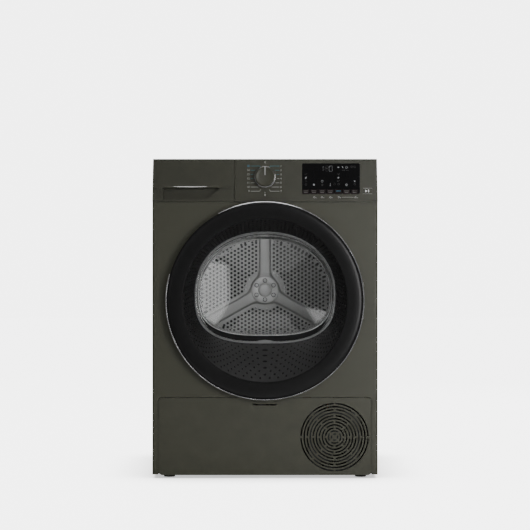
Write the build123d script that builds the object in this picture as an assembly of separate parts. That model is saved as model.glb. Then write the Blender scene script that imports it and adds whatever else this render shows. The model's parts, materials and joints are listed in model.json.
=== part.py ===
from build123d import *
from math import cos, copysign, pi, radians, sin
import os

# A front-loading heat-pump clothes dryer, piece by piece, in millimetres.
# +Z is up, the front faces -Y, and the origin is on the floor under the middle of the outline.

# Overall size
WIDTH, HEIGHT, DEPTH = 597.0, 846.0, 638.0
HALF_W = WIDTH / 2
DOOR_STAND_OFF = 38.0
DUCT_DEPTH = 20.0
FRONT_Y = -DEPTH / 2 + DOOR_STAND_OFF
BACK_Y = DEPTH / 2 - DUCT_DEPTH

# Cabinet
SHEET = 1.2
BASE_Z = 10.0
SEAM_Z = 731.0
PANEL_TOP_Z = 845.0
RETURN = 14.0
FASCIA_Y = FRONT_Y - 4.0
FASCIA_BACK_Y = FRONT_Y + 56.0
FASCIA_WALL = 3.0
TOP_FRAME_Z = 822.0

# Door and mouth
DOOR_Z = 470.0
DOOR_R = 262.0
RING_R = 257.6
RING_INNER_R = 216.0
DOOR_FACE_Y = -DEPTH / 2
DOOR_BACK_Y = FRONT_Y - 6.0
MOUTH_R = 212.0
TUNNEL_R = 207.0
WINDOW_MID_Z = 487.0
WINDOW_FRONT = (187.0, 166.0, 131.0)
BOWL_BACK = (177.0, 149.0, 100.0)
WINDOW_Y = -266.0
BOWL_BACK_Y = -206.0
GLASS = 4.0
GRIP_FROM, GRIP_TO = 118.0, 164.5
HINGE_X, HINGE_Y = 254.0, -305.0
HINGE_HALF = 48.0
HINGE_PIN_R = 3.5
RUNNING = 0.05

# Drum
DRUM_Z = 491.0
DRUM_R = 278.0
DRUM_SKIN = 1.2
DRUM_FRONT_Y, DRUM_BACK_Y = -224.0, 234.0
DRUM_LIP_R = 264.0
BULKHEAD_Y = -256.0
SHAFT_R = 12.0
HUB_R = 41.0
HOLE_R, HOLE_PITCH = 8.0, 38.0
SPOKE_W = 40.0
BELT_Y, BELT_W = 8.0, 9.0

# Base and drive
MOTOR_X, MOTOR_Z = 150.0, 112.0
PULLEY_R = 12.0
ROLLER_R, ROLLER_ANGLE = 30.0, 35.0
GAP = 0.4
KICK_HALF_W, KICK_TOP_Z, KICK_LOW_Z = 282.0, 213.0, 8.5
KICK_AXIS_Y, KICK_AXIS_Z = -271.0, 17.0
GRILLE_X, GRILLE_Z = 184.0, 109.0
SLOT_PITCH, SLOT_W, SLOT_RINGS = 8.05, 3.7, 11
LEVER_X, LEVER_Z = (-235.0, -63.0), 95.0
COMPRESSOR = (150.0, -130.0)

# Control panel
SPLIT_X = -80.0
KNOB_Z, KNOB_R = 797.0, 28.0
SHOWN = (98.0, 251.0, 753.0, 833.0)
START = (258.0, 284.0, 753.0, 767.0)
TANK = (-277.0, -86.0, 744.0, 812.0)
TANK_BACK_Y = 168.0


def slab_y(sketch, y_front, y_back):
    """Extrude a sketch drawn in x and z between two depths."""
    plane = Plane(origin=(0, y_back, 0), x_dir=(1, 0, 0), z_dir=(0, -1, 0))
    return extrude(plane * sketch, amount=y_back - y_front, dir=(0, -1, 0))


def slab_z(sketch, z_low, z_high):
    """Extrude a sketch drawn in x and y between two heights."""
    return extrude(Pos(0, 0, z_low) * sketch, amount=z_high - z_low, dir=(0, 0, 1))


def slab_x(sketch, x_left, x_right):
    """Extrude a sketch drawn in y and z between two sides."""
    plane = Plane(origin=(x_left, 0, 0), x_dir=(0, 1, 0), z_dir=(1, 0, 0))
    return extrude(plane * sketch, amount=x_right - x_left, dir=(1, 0, 0))


def block(x0, x1, y0, y1, z0, z1):
    """Box between two corners."""
    middle = Pos((x0 + x1) / 2, (y0 + y1) / 2, (z0 + z1) / 2)
    return middle * Box(x1 - x0, y1 - y0, z1 - z0)


def pane(x0, x1, z0, z1, radius=0.0):
    """Rectangle sketch between two corners, with round corners if asked for."""
    middle = Pos((x0 + x1) / 2, (z0 + z1) / 2)
    if radius:
        return middle * RectangleRounded(x1 - x0, z1 - z0, radius)
    return middle * Rectangle(x1 - x0, z1 - z0)


def disc(x, z, radius):
    """Circle sketch round a point."""
    return Pos(x, z) * Circle(radius)


def rod_y(x, z, radius, y0, y1):
    """Round bar along Y."""
    return slab_y(disc(x, z, radius), y0, y1)


def tube_y(x, z, r_out, r_in, y0, y1):
    """Round tube along Y."""
    return slab_y(disc(x, z, r_out) - disc(x, z, r_in), y0, y1)


def rod_z(x, y, radius, z0, z1):
    """Upright round bar."""
    return slab_z(disc(x, y, radius), z0, z1)


def turned(points, x, z, degrees=360.0):
    """Revolve a closed outline of radius and y about an axis along Y through x and z."""
    profile = Pos(x, 0, z) * Polygon(*points)
    return revolve(profile, Axis((x, 0, z), (0, 1, 0)), degrees)


def around(x, z, radius, count, first=0.0):
    """Points on a circle seen from the front, counted counter-clockwise from +x."""
    for step in range(count):
        turn = radians(first + 360.0 * step / count)
        yield x + radius * cos(turn), z + radius * sin(turn)


def wedge(x, z, radius, start, end):
    """Pie sketch between two directions in degrees, under half a turn."""
    half = radians(end - start) / 2
    reach = radius / cos(half)
    tips = [(reach * cos(radians(turn)), reach * sin(radians(turn))) for turn in (start, end)]
    return Pos(x, z) * Polygon((0, 0), *tips)


def front_panel():
    """Painted sheet front with returned edges, the door mouth and the kick panel's cut-out."""
    shell = block(-HALF_W, HALF_W, FRONT_Y, FRONT_Y + RETURN, BASE_Z, SEAM_Z)
    shell = fillet(shell.edges().filter_by(Axis.Z).sort_by(Axis.Y)[:2], 6.0)
    inner = block(-HALF_W + SHEET, HALF_W - SHEET, FRONT_Y + SHEET, FRONT_Y + RETURN + 1,
                  BASE_Z - 1, SEAM_Z - SHEET)
    inner = fillet(inner.edges().filter_by(Axis.Z).sort_by(Axis.Y)[:2], 6.0 - SHEET)
    cut_w = KICK_HALF_W + 1.2
    kick = pane(-cut_w, cut_w, BASE_Z - 20, KICK_TOP_Z + 1.2, 12.0)
    flange = tube_y(0, DOOR_Z, MOUTH_R + SHEET, MOUTH_R, FRONT_Y, FRONT_Y + 10)
    panel = shell - inner + flange
    panel -= rod_y(0, DOOR_Z, MOUTH_R, FRONT_Y - 1, FRONT_Y + RETURN)
    panel -= slab_y(kick, FRONT_Y - 1, FRONT_Y + RETURN + 1)
    panel -= slab_y(pane(-240, -224, DOOR_Z - 12, DOOR_Z + 12, 3.0), FRONT_Y - 1, FRONT_Y + RETURN)
    return panel


def side_panel(side):
    """Painted side sheet with inward flanges at its front and rear edges; side is -1 or 1."""
    x_out, x_in = HALF_W, HALF_W - SHEET
    y0, y1 = FRONT_Y + RETURN + 0.5, BACK_Y
    sheet = block(x_in, x_out, y0, y1, BASE_Z, TOP_FRAME_Z)
    sheet += block(x_out - 16, x_out, y0, y0 + SHEET, BASE_Z, SEAM_Z - 2)
    sheet += block(x_out - 22, x_out, y1 - SHEET, y1, BASE_Z, TOP_FRAME_Z)
    sheet = fillet(sheet.edges().filter_by(Axis.Z).group_by(Axis.X)[-1], 0.8)
    sheet -= block(x_in - 30, x_out + 1, y0 - 1, FASCIA_BACK_Y + 0.5, SEAM_Z - 2, TOP_FRAME_Z + 1)
    return sheet if side > 0 else mirror(sheet, Plane.YZ)


def fascia_outline(x_left, x_right, drop=0.0):
    """Front outline of the control panel, whose sides lean in towards the top."""
    lean = 2.5
    top = PANEL_TOP_Z - drop
    left_top = x_left + (lean if x_left < SPLIT_X - 10 else 0.0)
    right_top = x_right - (lean if x_right > 0 else 0.0)
    low = SEAM_Z + 0.6 + drop
    return Polygon((x_left, low), (x_right, low), (right_top, top), (left_top, top))


def control_panel():
    """Moulded fascia: front shell, the sleeve behind the drawer front, and openings for the controls."""
    wall = FASCIA_WALL
    shell = slab_y(fascia_outline(-HALF_W, HALF_W), FASCIA_Y, FASCIA_BACK_Y)
    shell = fillet(shell.edges().group_by(Axis.Y)[0].group_by(Axis.Z)[-1], 5.0)
    hollow = fascia_outline(-HALF_W + wall, HALF_W - wall, wall)
    shell -= slab_y(hollow, FASCIA_Y + wall, FASCIA_BACK_Y + 1)
    drawer_back = FRONT_Y + 20.0
    shell -= block(-HALF_W - 1, SPLIT_X, FASCIA_Y - 1, drawer_back, SEAM_Z, PANEL_TOP_Z + 1)
    shell += block(SPLIT_X, SPLIT_X + wall, FASCIA_Y + wall - 1, drawer_back + wall,
                   SEAM_Z + 2, PANEL_TOP_Z - 2)
    mouth = pane(-HALF_W + 6, SPLIT_X - 2, SEAM_Z + 5, PANEL_TOP_Z - 5, 4.0)
    plate = pane(-HALF_W + wall, SPLIT_X + wall, SEAM_Z + 2, PANEL_TOP_Z - 2) - mouth
    shell += slab_y(plate, drawer_back, drawer_back + wall)
    y0, y1 = FASCIA_Y - 1, FASCIA_Y + wall + 1
    shell -= slab_y(pane(*SHOWN, 4.0), y0, y1)
    shell -= slab_y(pane(*START, 2.0), y0, y1)
    shell -= rod_y(0, KNOB_Z, 7.0, y0, y1)
    return shell - block(-150, 150, BULKHEAD_Y - 2, FASCIA_BACK_Y + 1, SEAM_Z, SEAM_Z + 8)


def drawer_front():
    """Water drawer's front: a lower strip set back, its slanted finger recess, and the lip above."""
    wall, set_back = 3.0, 2.4
    back_y = FRONT_Y + 19.0
    right = SPLIT_X - 0.6
    front = slab_y(fascia_outline(-HALF_W, right), FASCIA_Y, back_y)
    front = fillet(front.edges().group_by(Axis.Y)[0].group_by(Axis.Z)[-1], 5.0)
    front -= slab_y(fascia_outline(-HALF_W + wall, right - wall, wall), FASCIA_Y + wall, back_y + 1)
    front += block(-HALF_W + 2, right - 2, FASCIA_Y + 2, FASCIA_Y + set_back + wall, SEAM_Z + 2, 771)
    recess = Polygon((-270, 740), (-153, 740), (-118, 768), (-270, 768))
    front += slab_y(offset(recess, 2.5, kind=Kind.INTERSECTION), FASCIA_Y + set_back, back_y)
    front -= block(-HALF_W - 1, right + 1, FASCIA_Y - 1, FASCIA_Y + set_back, SEAM_Z - 1, 768)
    front -= slab_y(recess, FASCIA_Y - 1, back_y - 2.5)
    lip = slab_x(Pos(FASCIA_Y + 1.0, 770.2) * RectangleRounded(5.0, 4.2, 2.0), -266, -124)
    return front + lip


def tank_section():
    """Water tank's cross-section, hollowed below to clear the drum."""
    return pane(*TANK, 6.0) - disc(0, DRUM_Z, DRUM_R + 18.0)


def water_tank():
    """Hollow condensate tank behind the drawer front, with a fill hole and a pouring spout on top."""
    wall = 2.5
    y0, y1 = FRONT_Y + 19.0, TANK_BACK_Y
    fill_x, fill_y = -190.0, TANK_BACK_Y - 60.0
    section = tank_section()
    tank = slab_y(section, y0, y1)
    tank -= slab_y(offset(section, -wall, kind=Kind.INTERSECTION), y0 + wall, y1 - wall)
    tank += rod_z(-245, y0 + 40, 15.0, TANK[3] - wall, TANK[3] + 6)
    tank -= rod_z(-245, y0 + 40, 12.0, TANK[3] - wall - 1, TANK[3] + 7)
    tank -= rod_z(fill_x, fill_y, 20.0, TANK[3] - wall - 1, TANK[3] + 1)
    return tank


def tank_tray():
    """Fixed tray that the water tank slides in, open above and at the front."""
    near, far = 1.2, 3.2
    y0, y1 = FASCIA_BACK_Y + 1.0, TANK_BACK_Y + 2.0
    section = tank_section()
    outside = offset(section, far, kind=Kind.INTERSECTION)
    tray = slab_y(outside, y0, y1 + 2.0) - slab_y(offset(section, near, kind=Kind.INTERSECTION), y0 - 1, y1)
    return tray - block(-HALF_W, 0, y0 - 1, y1 + 3, TANK[3] - 24, PANEL_TOP_Z)


def display_window():
    """Black display pane flush in the fascia."""
    x0, x1, z0, z1 = SHOWN
    back = FASCIA_Y + FASCIA_WALL
    front = slab_y(pane(x0 + 0.2, x1 - 0.2, z0 + 0.2, z1 - 0.2, 3.8), FASCIA_Y, back)
    rim = slab_y(pane(x0 - 4, x1 + 4, z0 - 4, z1 + 4, 6.0), back, back + 2)
    front = fillet(front.edges().group_by(Axis.Y)[0], 0.6)
    return front + rim


def display_board():
    """Circuit board behind the fascia, with the display module, connectors and the knob's encoder bush."""
    y0 = FASCIA_Y + 22.0
    board = block(-40, 290, y0, y0 + 1.6, 742, 836)
    board += block(SHOWN[0] + 8, SHOWN[1] - 8, y0 - 8, y0, 772, 828)
    board += block(30, 70, y0 + 1.6, y0 + 12, 800, 812)
    board += block(-30, 10, y0 + 1.6, y0 + 9, 822, 832)
    board += slab_y(pane(-9, 9, KNOB_Z - 9, KNOB_Z + 9, 1.0), y0 - 10, y0)
    board += rod_y(0, KNOB_Z, 6.0, y0 - 18, y0 + 14)
    return board - rod_y(0, KNOB_Z, 3.0 + RUNNING, y0 - 20, y0 + 13)


def start_button():
    """Start and pause key with the stem that presses its switch."""
    x0, x1, z0, z1 = START
    key = slab_y(pane(x0 + 0.4, x1 - 0.4, z0 + 0.4, z1 - 0.4, 1.8), FASCIA_Y - 0.8, FASCIA_Y + 6)
    key = fillet(key.edges().group_by(Axis.Y)[0], 0.6)
    middle_x, middle_z = (x0 + x1) / 2, (z0 + z1) / 2
    return key + rod_y(middle_x, middle_z, 3.0, FASCIA_Y + 6, FASCIA_Y + 20)


def knob_cap():
    """Programme knob: a dished cap with a groove for its pointer, on its spindle."""
    face, skirt = FASCIA_Y - 25.0, FASCIA_Y - 5.0
    cap = turned([(0, skirt), (KNOB_R - 1.5, skirt), (KNOB_R - 1.9, face + 3), (KNOB_R - 4.5, face),
                  (KNOB_R - 8, face + 0.8), (0, face + 1.6)], 0, KNOB_Z)
    cap -= slab_y(pane(-2.5, 2.5, KNOB_Z + 1, KNOB_Z + 29), face - 1, face + 3.0)
    return cap + rod_y(0, KNOB_Z, 3.0, skirt - 1, FASCIA_Y + 34.0)


def knob_ring():
    """Chrome ring at the foot of the knob."""
    y0, y1 = FASCIA_Y - 5.0, FASCIA_Y - 1.0
    return turned([(KNOB_R - 5, y1), (KNOB_R + 0.5, y1), (KNOB_R + 1.2, y1 - 1.5), (KNOB_R + 0.2, y0),
                   (KNOB_R - 5, y0)], 0, KNOB_Z)


def knob_pointer():
    """Pale pointer bar let into the knob's face and over its rim."""
    face = FASCIA_Y - 25.0
    bar = slab_y(pane(-2.2, 2.2, KNOB_Z + 1.3, KNOB_Z + 24.0), face + 1.0, face + 3.0)
    return bar


def top_panel():
    """Worktop with a moulded rim round its board, hollowed below."""
    y0 = FASCIA_BACK_Y + 0.5
    middle = Pos(0, (y0 + BACK_Y) / 2)
    width, length = WIDTH, BACK_Y - y0
    top = slab_z(middle * Rectangle(width, length), TOP_FRAME_Z, HEIGHT)
    top = fillet(top.edges().group_by(Axis.Z)[-1], 4.0)
    top -= slab_z(middle * Rectangle(width - 24, length - 24), HEIGHT - 0.8, HEIGHT + 1)
    top += slab_z(middle * Rectangle(width - 26, length - 26), HEIGHT - 1.5, HEIGHT - 0.3)
    return top - slab_z(middle * Rectangle(width - 40, length - 40), TOP_FRAME_Z - 1, HEIGHT - 16)


def duct_outline():
    """Keyhole outline of the rear duct: a round over the drum and a channel down to the fan."""
    channel = Polygon((MOTOR_X - 75, 45), (MOTOR_X + 75, 45), (MOTOR_X + 82, DRUM_Z - 60), (40, DRUM_Z - 40))
    return disc(0, DRUM_Z, 232.0) + channel


def back_panel():
    """Rear sheet with the bearing's spider, the fan outlet and pressed stiffening beads."""
    y0 = BACK_Y - 2 * SHEET - 0.2
    sheet = pane(-HALF_W + 3, HALF_W - 3, BASE_Z + 2, TOP_FRAME_Z - 2, 6.0)
    openings = disc(0, DRUM_Z, 205.0) - disc(0, DRUM_Z, 95.0)
    for turn in (90, 210, 330):
        openings -= Pos(0, DRUM_Z) * Rot(Z=turn) * Pos(150, 0) * Rectangle(140, 46)
    sheet = sheet - openings - pane(MOTOR_X - 55, MOTOR_X + 55, 60, 165, 8.0)
    panel = slab_y(sheet, y0, y0 + SHEET)
    for z in (60, 105, 150):
        panel += slab_y(pane(-250, 30, z, z + 16, 7.0), y0 - 2.0, y0)
    return panel


def rear_duct_cover():
    """Moulded dish that leads warm air from the fan up to the drum's back."""
    y0, y1 = BACK_Y - SHEET - 0.2, DEPTH / 2 - 2.0
    outline = duct_outline()
    dish = slab_y(outline, y0, y1)
    dish = fillet(dish.edges().group_by(Axis.Y)[-1], 8.0)
    for radius in (70.0, 140.0, 205.0):
        dish += tube_y(0, DRUM_Z, radius + 5, radius, y1 - 1, DEPTH / 2)
    dish -= slab_y(offset(outline, -2.2), y0 - 1, y1 - 9.0)
    return dish - slab_y(offset(outline, -8.0), y1 - 10.0, y1 - 2.2)


def terminal_cover():
    """Cover over the supply terminals on the back, with its cable gland bore left closed."""
    y0 = BACK_Y - SHEET - 0.2
    cover = slab_y(pane(-262, -182, 715, 790, 5.0), y0, BACK_Y + 13)
    cover = fillet(cover.edges().group_by(Axis.Y)[-1], 4.0)
    return cover - slab_y(pane(-260, -184, 717, 788, 3.0), y0 - 1, BACK_Y + 11)


def drain_spigot():
    """Spigot on the back where a condensate hose pushes on."""
    y0 = BACK_Y - SHEET - 0.2
    x, z = -245.0, 250.0
    body = turned([(0, y0), (16, y0), (16, y0 + 4), (8, y0 + 4), (8, DEPTH / 2 - 1.5), (7, DEPTH / 2 - 0.5),
                   (0, DEPTH / 2 - 0.5)], x, z)
    return body - rod_y(x, z, 5.0, y0 + 2, DEPTH / 2)


def levelling_feet():
    """Four feet with ribbed pads and threaded stems."""
    feet = []
    for x in (-255.0, 255.0):
        for y in (FRONT_Y + 46, BACK_Y - 40):
            pad = rod_z(x, y, 15.0, 0, BASE_Z - 0.2)
            pad = chamfer(pad.edges().group_by(Axis.Z)[-1], 2.0)
            feet.append(pad + rod_z(x, y, 5.0, BASE_Z - 1, BASE_Z + 24))
    return Compound(children=feet)


def window_outline(size=WINDOW_FRONT, grow=0.0, steps=24):
    """Points of the door window: a domed top over a flatter bottom with round lower corners."""
    half_w, up, down = size
    for step in range(steps):
        turn = 2 * pi * step / steps
        rise = sin(turn)
        power = 2 / 2.15 if rise >= 0 else 2 / 2.9
        height = (up if rise >= 0 else down) + grow
        x = copysign(abs(cos(turn)) ** power, cos(turn)) * (half_w + grow)
        yield x, WINDOW_MID_Z + copysign(abs(rise) ** power, rise) * height


def circle_outline(radius, steps=24):
    """Points of a circle round the door's axis, in step with the window's points."""
    return around(0, DOOR_Z, radius, steps)


def section_at(points, y):
    """Closed smooth face through points of x and z, at one depth."""
    return make_face(Spline(*[(x, y, z) for x, z in points], periodic=True))


def door_ring():
    """Glossy black door ring, an open-backed channel with a finger pocket in its upper left rim."""
    back, face = DOOR_BACK_Y, DOOR_FACE_Y
    inner = RING_INNER_R
    ring = turned([(RING_R, back), (RING_R, face + 9), (RING_R - 3.5, face + 3), (RING_R - 15, face),
                   (inner + 12, face + 1), (inner, face + 7), (inner, face + 10), (inner + 12, face + 4),
                   (RING_R - 15, face + 3), (RING_R - 5, face + 5.6), (RING_R - 3, face + 10),
                   (RING_R - 3, back)], 0, DOOR_Z)
    grip = wedge(0, DOOR_Z, DOOR_R + 5, GRIP_FROM, GRIP_TO)
    pocket_r = RING_R - 24
    cup = wedge(0, DOOR_Z, RING_R, GRIP_FROM - 1, GRIP_TO + 1)
    cup = (disc(0, DOOR_Z, RING_R - 2.9) - disc(0, DOOR_Z, pocket_r - 3)) & cup
    ring += slab_y(cup, face + 3.2, back - 3.5)
    hollow = (disc(0, DOOR_Z, DOOR_R + 5) - disc(0, DOOR_Z, pocket_r)) & grip
    ring -= slab_y(hollow, face + 13, back + 1)
    return ring - hinge_pocket()


def hinge_pocket():
    """Space for the fixed hinge arms inside the door's right edge."""
    return block(HINGE_X - 11, HINGE_X + 16, DOOR_FACE_Y + 7.5, FRONT_Y, DOOR_Z - 54, DOOR_Z + 54)


def chrome_trim():
    """Bright ring round the door, broken at the grip."""
    y0, y1 = DOOR_FACE_Y + 4.0, DOOR_FACE_Y + 18.0
    trim = turned([(RING_R, y1), (DOOR_R - 1, y1), (DOOR_R, y1 - 2), (DOOR_R, y0 + 2), (DOOR_R - 1.6, y0),
                   (RING_R, y0 + 3)], 0, DOOR_Z)
    trim -= slab_y(wedge(0, DOOR_Z, DOOR_R + 5, GRIP_FROM, GRIP_TO), y0 - 1, y1 + 1)
    return trim - hinge_pocket()


def door_funnel():
    """Dark funnel that narrows from the round ring to the window."""
    y0, wall = DOOR_FACE_Y + 10.0, 3.0
    outside = loft([section_at(circle_outline(RING_INNER_R + wall), y0),
                    section_at(window_outline(grow=wall), WINDOW_Y)])
    inside = loft([section_at(circle_outline(RING_INNER_R), y0), section_at(window_outline(), WINDOW_Y)])
    return outside - inside


def door_glass():
    """Glass bowl that reaches through the mouth towards the drum, with a rim at its front."""
    def bowl(shrink, y_shift):
        depths = ((WINDOW_FRONT, 0.0, WINDOW_Y), (BOWL_BACK, 0.0, BOWL_BACK_Y - 8),
                  (BOWL_BACK, -7.0, BOWL_BACK_Y))
        faces = [section_at(window_outline(size, grow - shrink), y - y_shift) for size, grow, y in depths]
        return loft(faces, ruled=True)

    rim = extrude(section_at(window_outline(grow=3.0), WINDOW_Y), amount=3.0, dir=(0, 1, 0))
    mouth = extrude(section_at(window_outline(grow=-GLASS), WINDOW_Y), amount=2.0, dir=(0, 1, 0))
    return bowl(0.0, 0.0) + rim - bowl(GLASS, GLASS) - mouth


def door_inner_frame():
    """Door's back plate with the collar that stiffens it."""
    y1 = DOOR_BACK_Y
    frame = slab_y(disc(0, DOOR_Z, RING_R - 3.2) - disc(0, DOOR_Z, RING_INNER_R - 3.5), y1 - 3, y1)
    frame += tube_y(0, DOOR_Z, RING_INNER_R + 8, RING_INNER_R + 5, DOOR_FACE_Y + 10, y1 - 2)
    grip = wedge(0, DOOR_Z, DOOR_R + 5, GRIP_FROM - 2, GRIP_TO + 2)
    frame -= slab_y(grip - disc(0, DOOR_Z, RING_R - 24.5), y1 - 4, y1 + 1)
    return frame - hinge_pocket()


def door_catch():
    """Hook at the door's left edge that the lock holds."""
    hook = block(-235, -229, DOOR_BACK_Y, FRONT_Y + 12, DOOR_Z - 6, DOOR_Z + 6)
    return hook + block(-236.5, -229, FRONT_Y + 7, FRONT_Y + 12, DOOR_Z - 6, DOOR_Z + 6)


def door_lock():
    """Lock body behind the front panel."""
    y0 = FRONT_Y + SHEET
    body = block(-246, -218, y0, y0 + 24, DOOR_Z - 24, DOOR_Z + 24)
    return body - block(-241, -223, y0 - 1, y0 + 18, DOOR_Z - 10, DOOR_Z + 10)


def door_seal():
    """Rubber ring on the front panel that the shut door meets."""
    return turned([(MOUTH_R + 3, FRONT_Y), (MOUTH_R + 10, FRONT_Y), (MOUTH_R + 8, FRONT_Y - 5.5),
                   (MOUTH_R + 5, FRONT_Y - 5.5)], 0, DOOR_Z)


def hinge_bracket():
    """Fixed hinge plate with two knuckles in front of the front panel."""
    half = HINGE_HALF + 4
    plate = block(MOUTH_R + 12, HINGE_X + 2, FRONT_Y - 3.2, FRONT_Y, DOOR_Z - half, DOOR_Z + half)
    for low in (-HINGE_HALF, HINGE_HALF - 12):
        z0, z1 = DOOR_Z + low, DOOR_Z + low + 12
        plate += block(HINGE_X - 4, HINGE_X + 2, HINGE_Y, FRONT_Y - 3, z0, z1)
        plate += rod_z(HINGE_X, HINGE_Y, 6.0, z0, z1)
    return plate - rod_z(HINGE_X, HINGE_Y, HINGE_PIN_R, DOOR_Z - 60, DOOR_Z + 60)


def hinge_pin():
    """Door hinge pin."""
    return rod_z(HINGE_X, HINGE_Y, HINGE_PIN_R, DOOR_Z - HINGE_HALF - 2, DOOR_Z + HINGE_HALF + 2)


def hinge_leaf():
    """Moving hinge leaf, screwed to the door's back plate."""
    half = HINGE_HALF - 12.6
    leaf = rod_z(HINGE_X, HINGE_Y, 6.0, DOOR_Z - half, DOOR_Z + half)
    leaf += block(RING_INNER_R + 11, HINGE_X, HINGE_Y - 2, HINGE_Y + 2, DOOR_Z - half, DOOR_Z + half)
    leaf += block(RING_INNER_R + 11, RING_INNER_R + 15, HINGE_Y, DOOR_BACK_Y - 3,
                  DOOR_Z - half, DOOR_Z + half)
    return leaf - rod_z(HINGE_X, HINGE_Y, HINGE_PIN_R + RUNNING, DOOR_Z - 60, DOOR_Z + 60)


def front_bulkhead():
    """Moulded drum front: plate, door tunnel, rim inside the drum's lip, roller posts and filter slot."""
    rim_r = DRUM_LIP_R - 5.0
    tunnel = disc(0, DOOR_Z, TUNNEL_R)
    plate = pane(-282, 282, 218, 726, 24.0) - disc(0, DRUM_Z, rim_r - 3)
    bulkhead = slab_y(plate, BULKHEAD_Y, BULKHEAD_Y + 4)
    bulkhead += tube_y(0, DRUM_Z, rim_r, rim_r - 3, BULKHEAD_Y, -214)
    bulkhead += slab_y(disc(0, DRUM_Z, rim_r) - tunnel, -236, -232)
    bulkhead += tube_y(0, DOOR_Z, TUNNEL_R + 3, TUNNEL_R, FRONT_Y + 2, -232)
    for side in (-1, 1):
        x, z = roller_place(side)
        y0 = DRUM_FRONT_Y + 16
        bulkhead += rod_y(x, z, 9.0, BULKHEAD_Y + 2, y0 - 0.5) + rod_y(x, z, 5.0, y0 - 1, y0 + 22)
    return bulkhead - block(-102, 102, -270, -238, 200, 300)


def lint_filter():
    """Lint filter that fills the slot in the mouth, with a finger tab on top."""
    face = pane(-100, 100, 204, 305) - disc(0, DOOR_Z, TUNNEL_R)
    frame = slab_y(face, -268, -242)
    slots = [pane(x - 9, x + 9, 212, 252, 3.0) for x in range(-80, 81, 23)]
    for slot in slots:
        frame -= slab_y(slot, -270, -240)
    tab = pane(-26, 26, 262, 280, 6.0)
    return frame + slab_y(tab, -258, -252)


def drum_shell():
    """Rolled drum with a coned front lip and two swaged ribs beside the belt's track."""
    outside = [(DRUM_LIP_R, DRUM_FRONT_Y), (DRUM_R, DRUM_FRONT_Y + 14)]
    for y in (BELT_Y - 100, BELT_Y + 100):
        outside += [(DRUM_R, y - 6), (DRUM_R + 1.6, y - 2), (DRUM_R + 1.6, y + 2), (DRUM_R, y + 6)]
    outside.append((DRUM_R, DRUM_BACK_Y))
    inside = [(r - DRUM_SKIN, y) for r, y in reversed(outside)]
    return turned(outside + inside, 0, DRUM_Z)


def drum_holes(reach):
    """Centres of the air holes in the drum's back, clear of the three spokes."""
    row_step = HOLE_PITCH * sin(radians(60))
    rows = int(reach / row_step) + 1
    for row in range(-rows, rows + 1):
        for column in range(-rows, rows + 1):
            x = (column + 0.5 * (row % 2)) * HOLE_PITCH
            z = row * row_step
            if not 78 < (x * x + z * z) ** 0.5 < reach:
                continue
            across = [abs(x * sin(radians(t)) - z * cos(radians(t))) for t in (90, 210, 330)
                      if x * cos(radians(t)) + z * sin(radians(t)) > 0]
            if min(across) > SPOKE_W / 2 + HOLE_R + 4:
                yield x, DRUM_Z + z


def drum_back():
    """Drum's back wall: a perforated plate with a raised three-spoke star."""
    plate_r = DRUM_R - DRUM_SKIN
    wall = disc(0, DRUM_Z, plate_r) - disc(0, DRUM_Z, SHAFT_R)
    wall -= [Pos(x, z) * RegularPolygon(HOLE_R, 6) for x, z in drum_holes(plate_r - 22)]
    back = slab_y(wall, DRUM_BACK_Y - 6.0, DRUM_BACK_Y - 4.0)
    star = disc(0, 0, 50.0)
    for turn in (90, 210, 330):
        star += Rot(Z=turn) * Pos(124, 0) * Rectangle(248, SPOKE_W)
    star = Pos(0, DRUM_Z) * fillet([v for v in star.vertices() if v.center().length < 60], 18.0)
    back += slab_y(star - disc(0, DRUM_Z, SHAFT_R), DRUM_BACK_Y - 13.0, DRUM_BACK_Y - 6.0)
    return back + tube_y(0, DRUM_Z, plate_r, plate_r - 2, DRUM_BACK_Y - 6.0, DRUM_BACK_Y)


def drum_lifters():
    """Three round-topped paddles along the drum's wall that lift the laundry, ramped at their front."""
    base_r = DRUM_R - DRUM_SKIN - 1.0
    y0, y1, crest = DRUM_FRONT_Y + 40, DRUM_BACK_Y - 16, -base_r + 60
    section = Polygon((-40, -base_r), (40, -base_r), (14, crest), (-14, crest))
    section = fillet(section.vertices().group_by(Axis.Y)[-1], 11.0) & disc(0, 0, base_r)
    lifter = slab_y(section, y0, y1)
    lifter -= slab_x(Polygon((y0 - 1, crest - 34), (y0 + 46, crest + 1), (y0 - 1, crest + 1)), -50, 50)
    return Compound(children=[Pos(0, 0, DRUM_Z) * Rot(Y=turn) * lifter for turn in (60, 180, 300)])


def drum_hub():
    """Round hub plate on the star, with a domed cap in its middle."""
    y0 = DRUM_BACK_Y - 17.0
    return turned([(0, y0 + 4), (HUB_R, y0 + 4), (HUB_R, y0 + 1), (HUB_R - 2, y0), (20, y0), (19, y0 - 4),
                   (13, y0 - 7), (0, y0 - 8)], 0, DRUM_Z)


def hub_screws():
    """Six screw heads round the hub cap."""
    y0 = DRUM_BACK_Y - 17.0
    return Compound(children=[rod_y(x, z, 4.8, y0 - 3, y0) for x, z in around(0, DRUM_Z, 29.5, 6, 90)])


def drum_shaft():
    """Drum's stub shaft with its flange behind the star."""
    y0 = DRUM_BACK_Y - 13.0
    flange = tube_y(0, DRUM_Z, 60.0, SHAFT_R - 1, DRUM_BACK_Y - 4, DRUM_BACK_Y + 2)
    return rod_y(0, DRUM_Z, SHAFT_R, y0, 290.0) + flange


def drum_seals():
    """Felt rings that seal the turning drum against the bulkhead's rim and the back panel."""
    rim_r = DRUM_LIP_R - 5.0
    front = tube_y(0, DRUM_Z, DRUM_LIP_R - DRUM_SKIN - GAP, rim_r, -224, -215)
    rear = tube_y(0, DRUM_Z, 252.0, 245.0, DRUM_BACK_Y + GAP, BACK_Y - 2 * SHEET - 0.2)
    return Compound(children=[front, rear])


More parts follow.
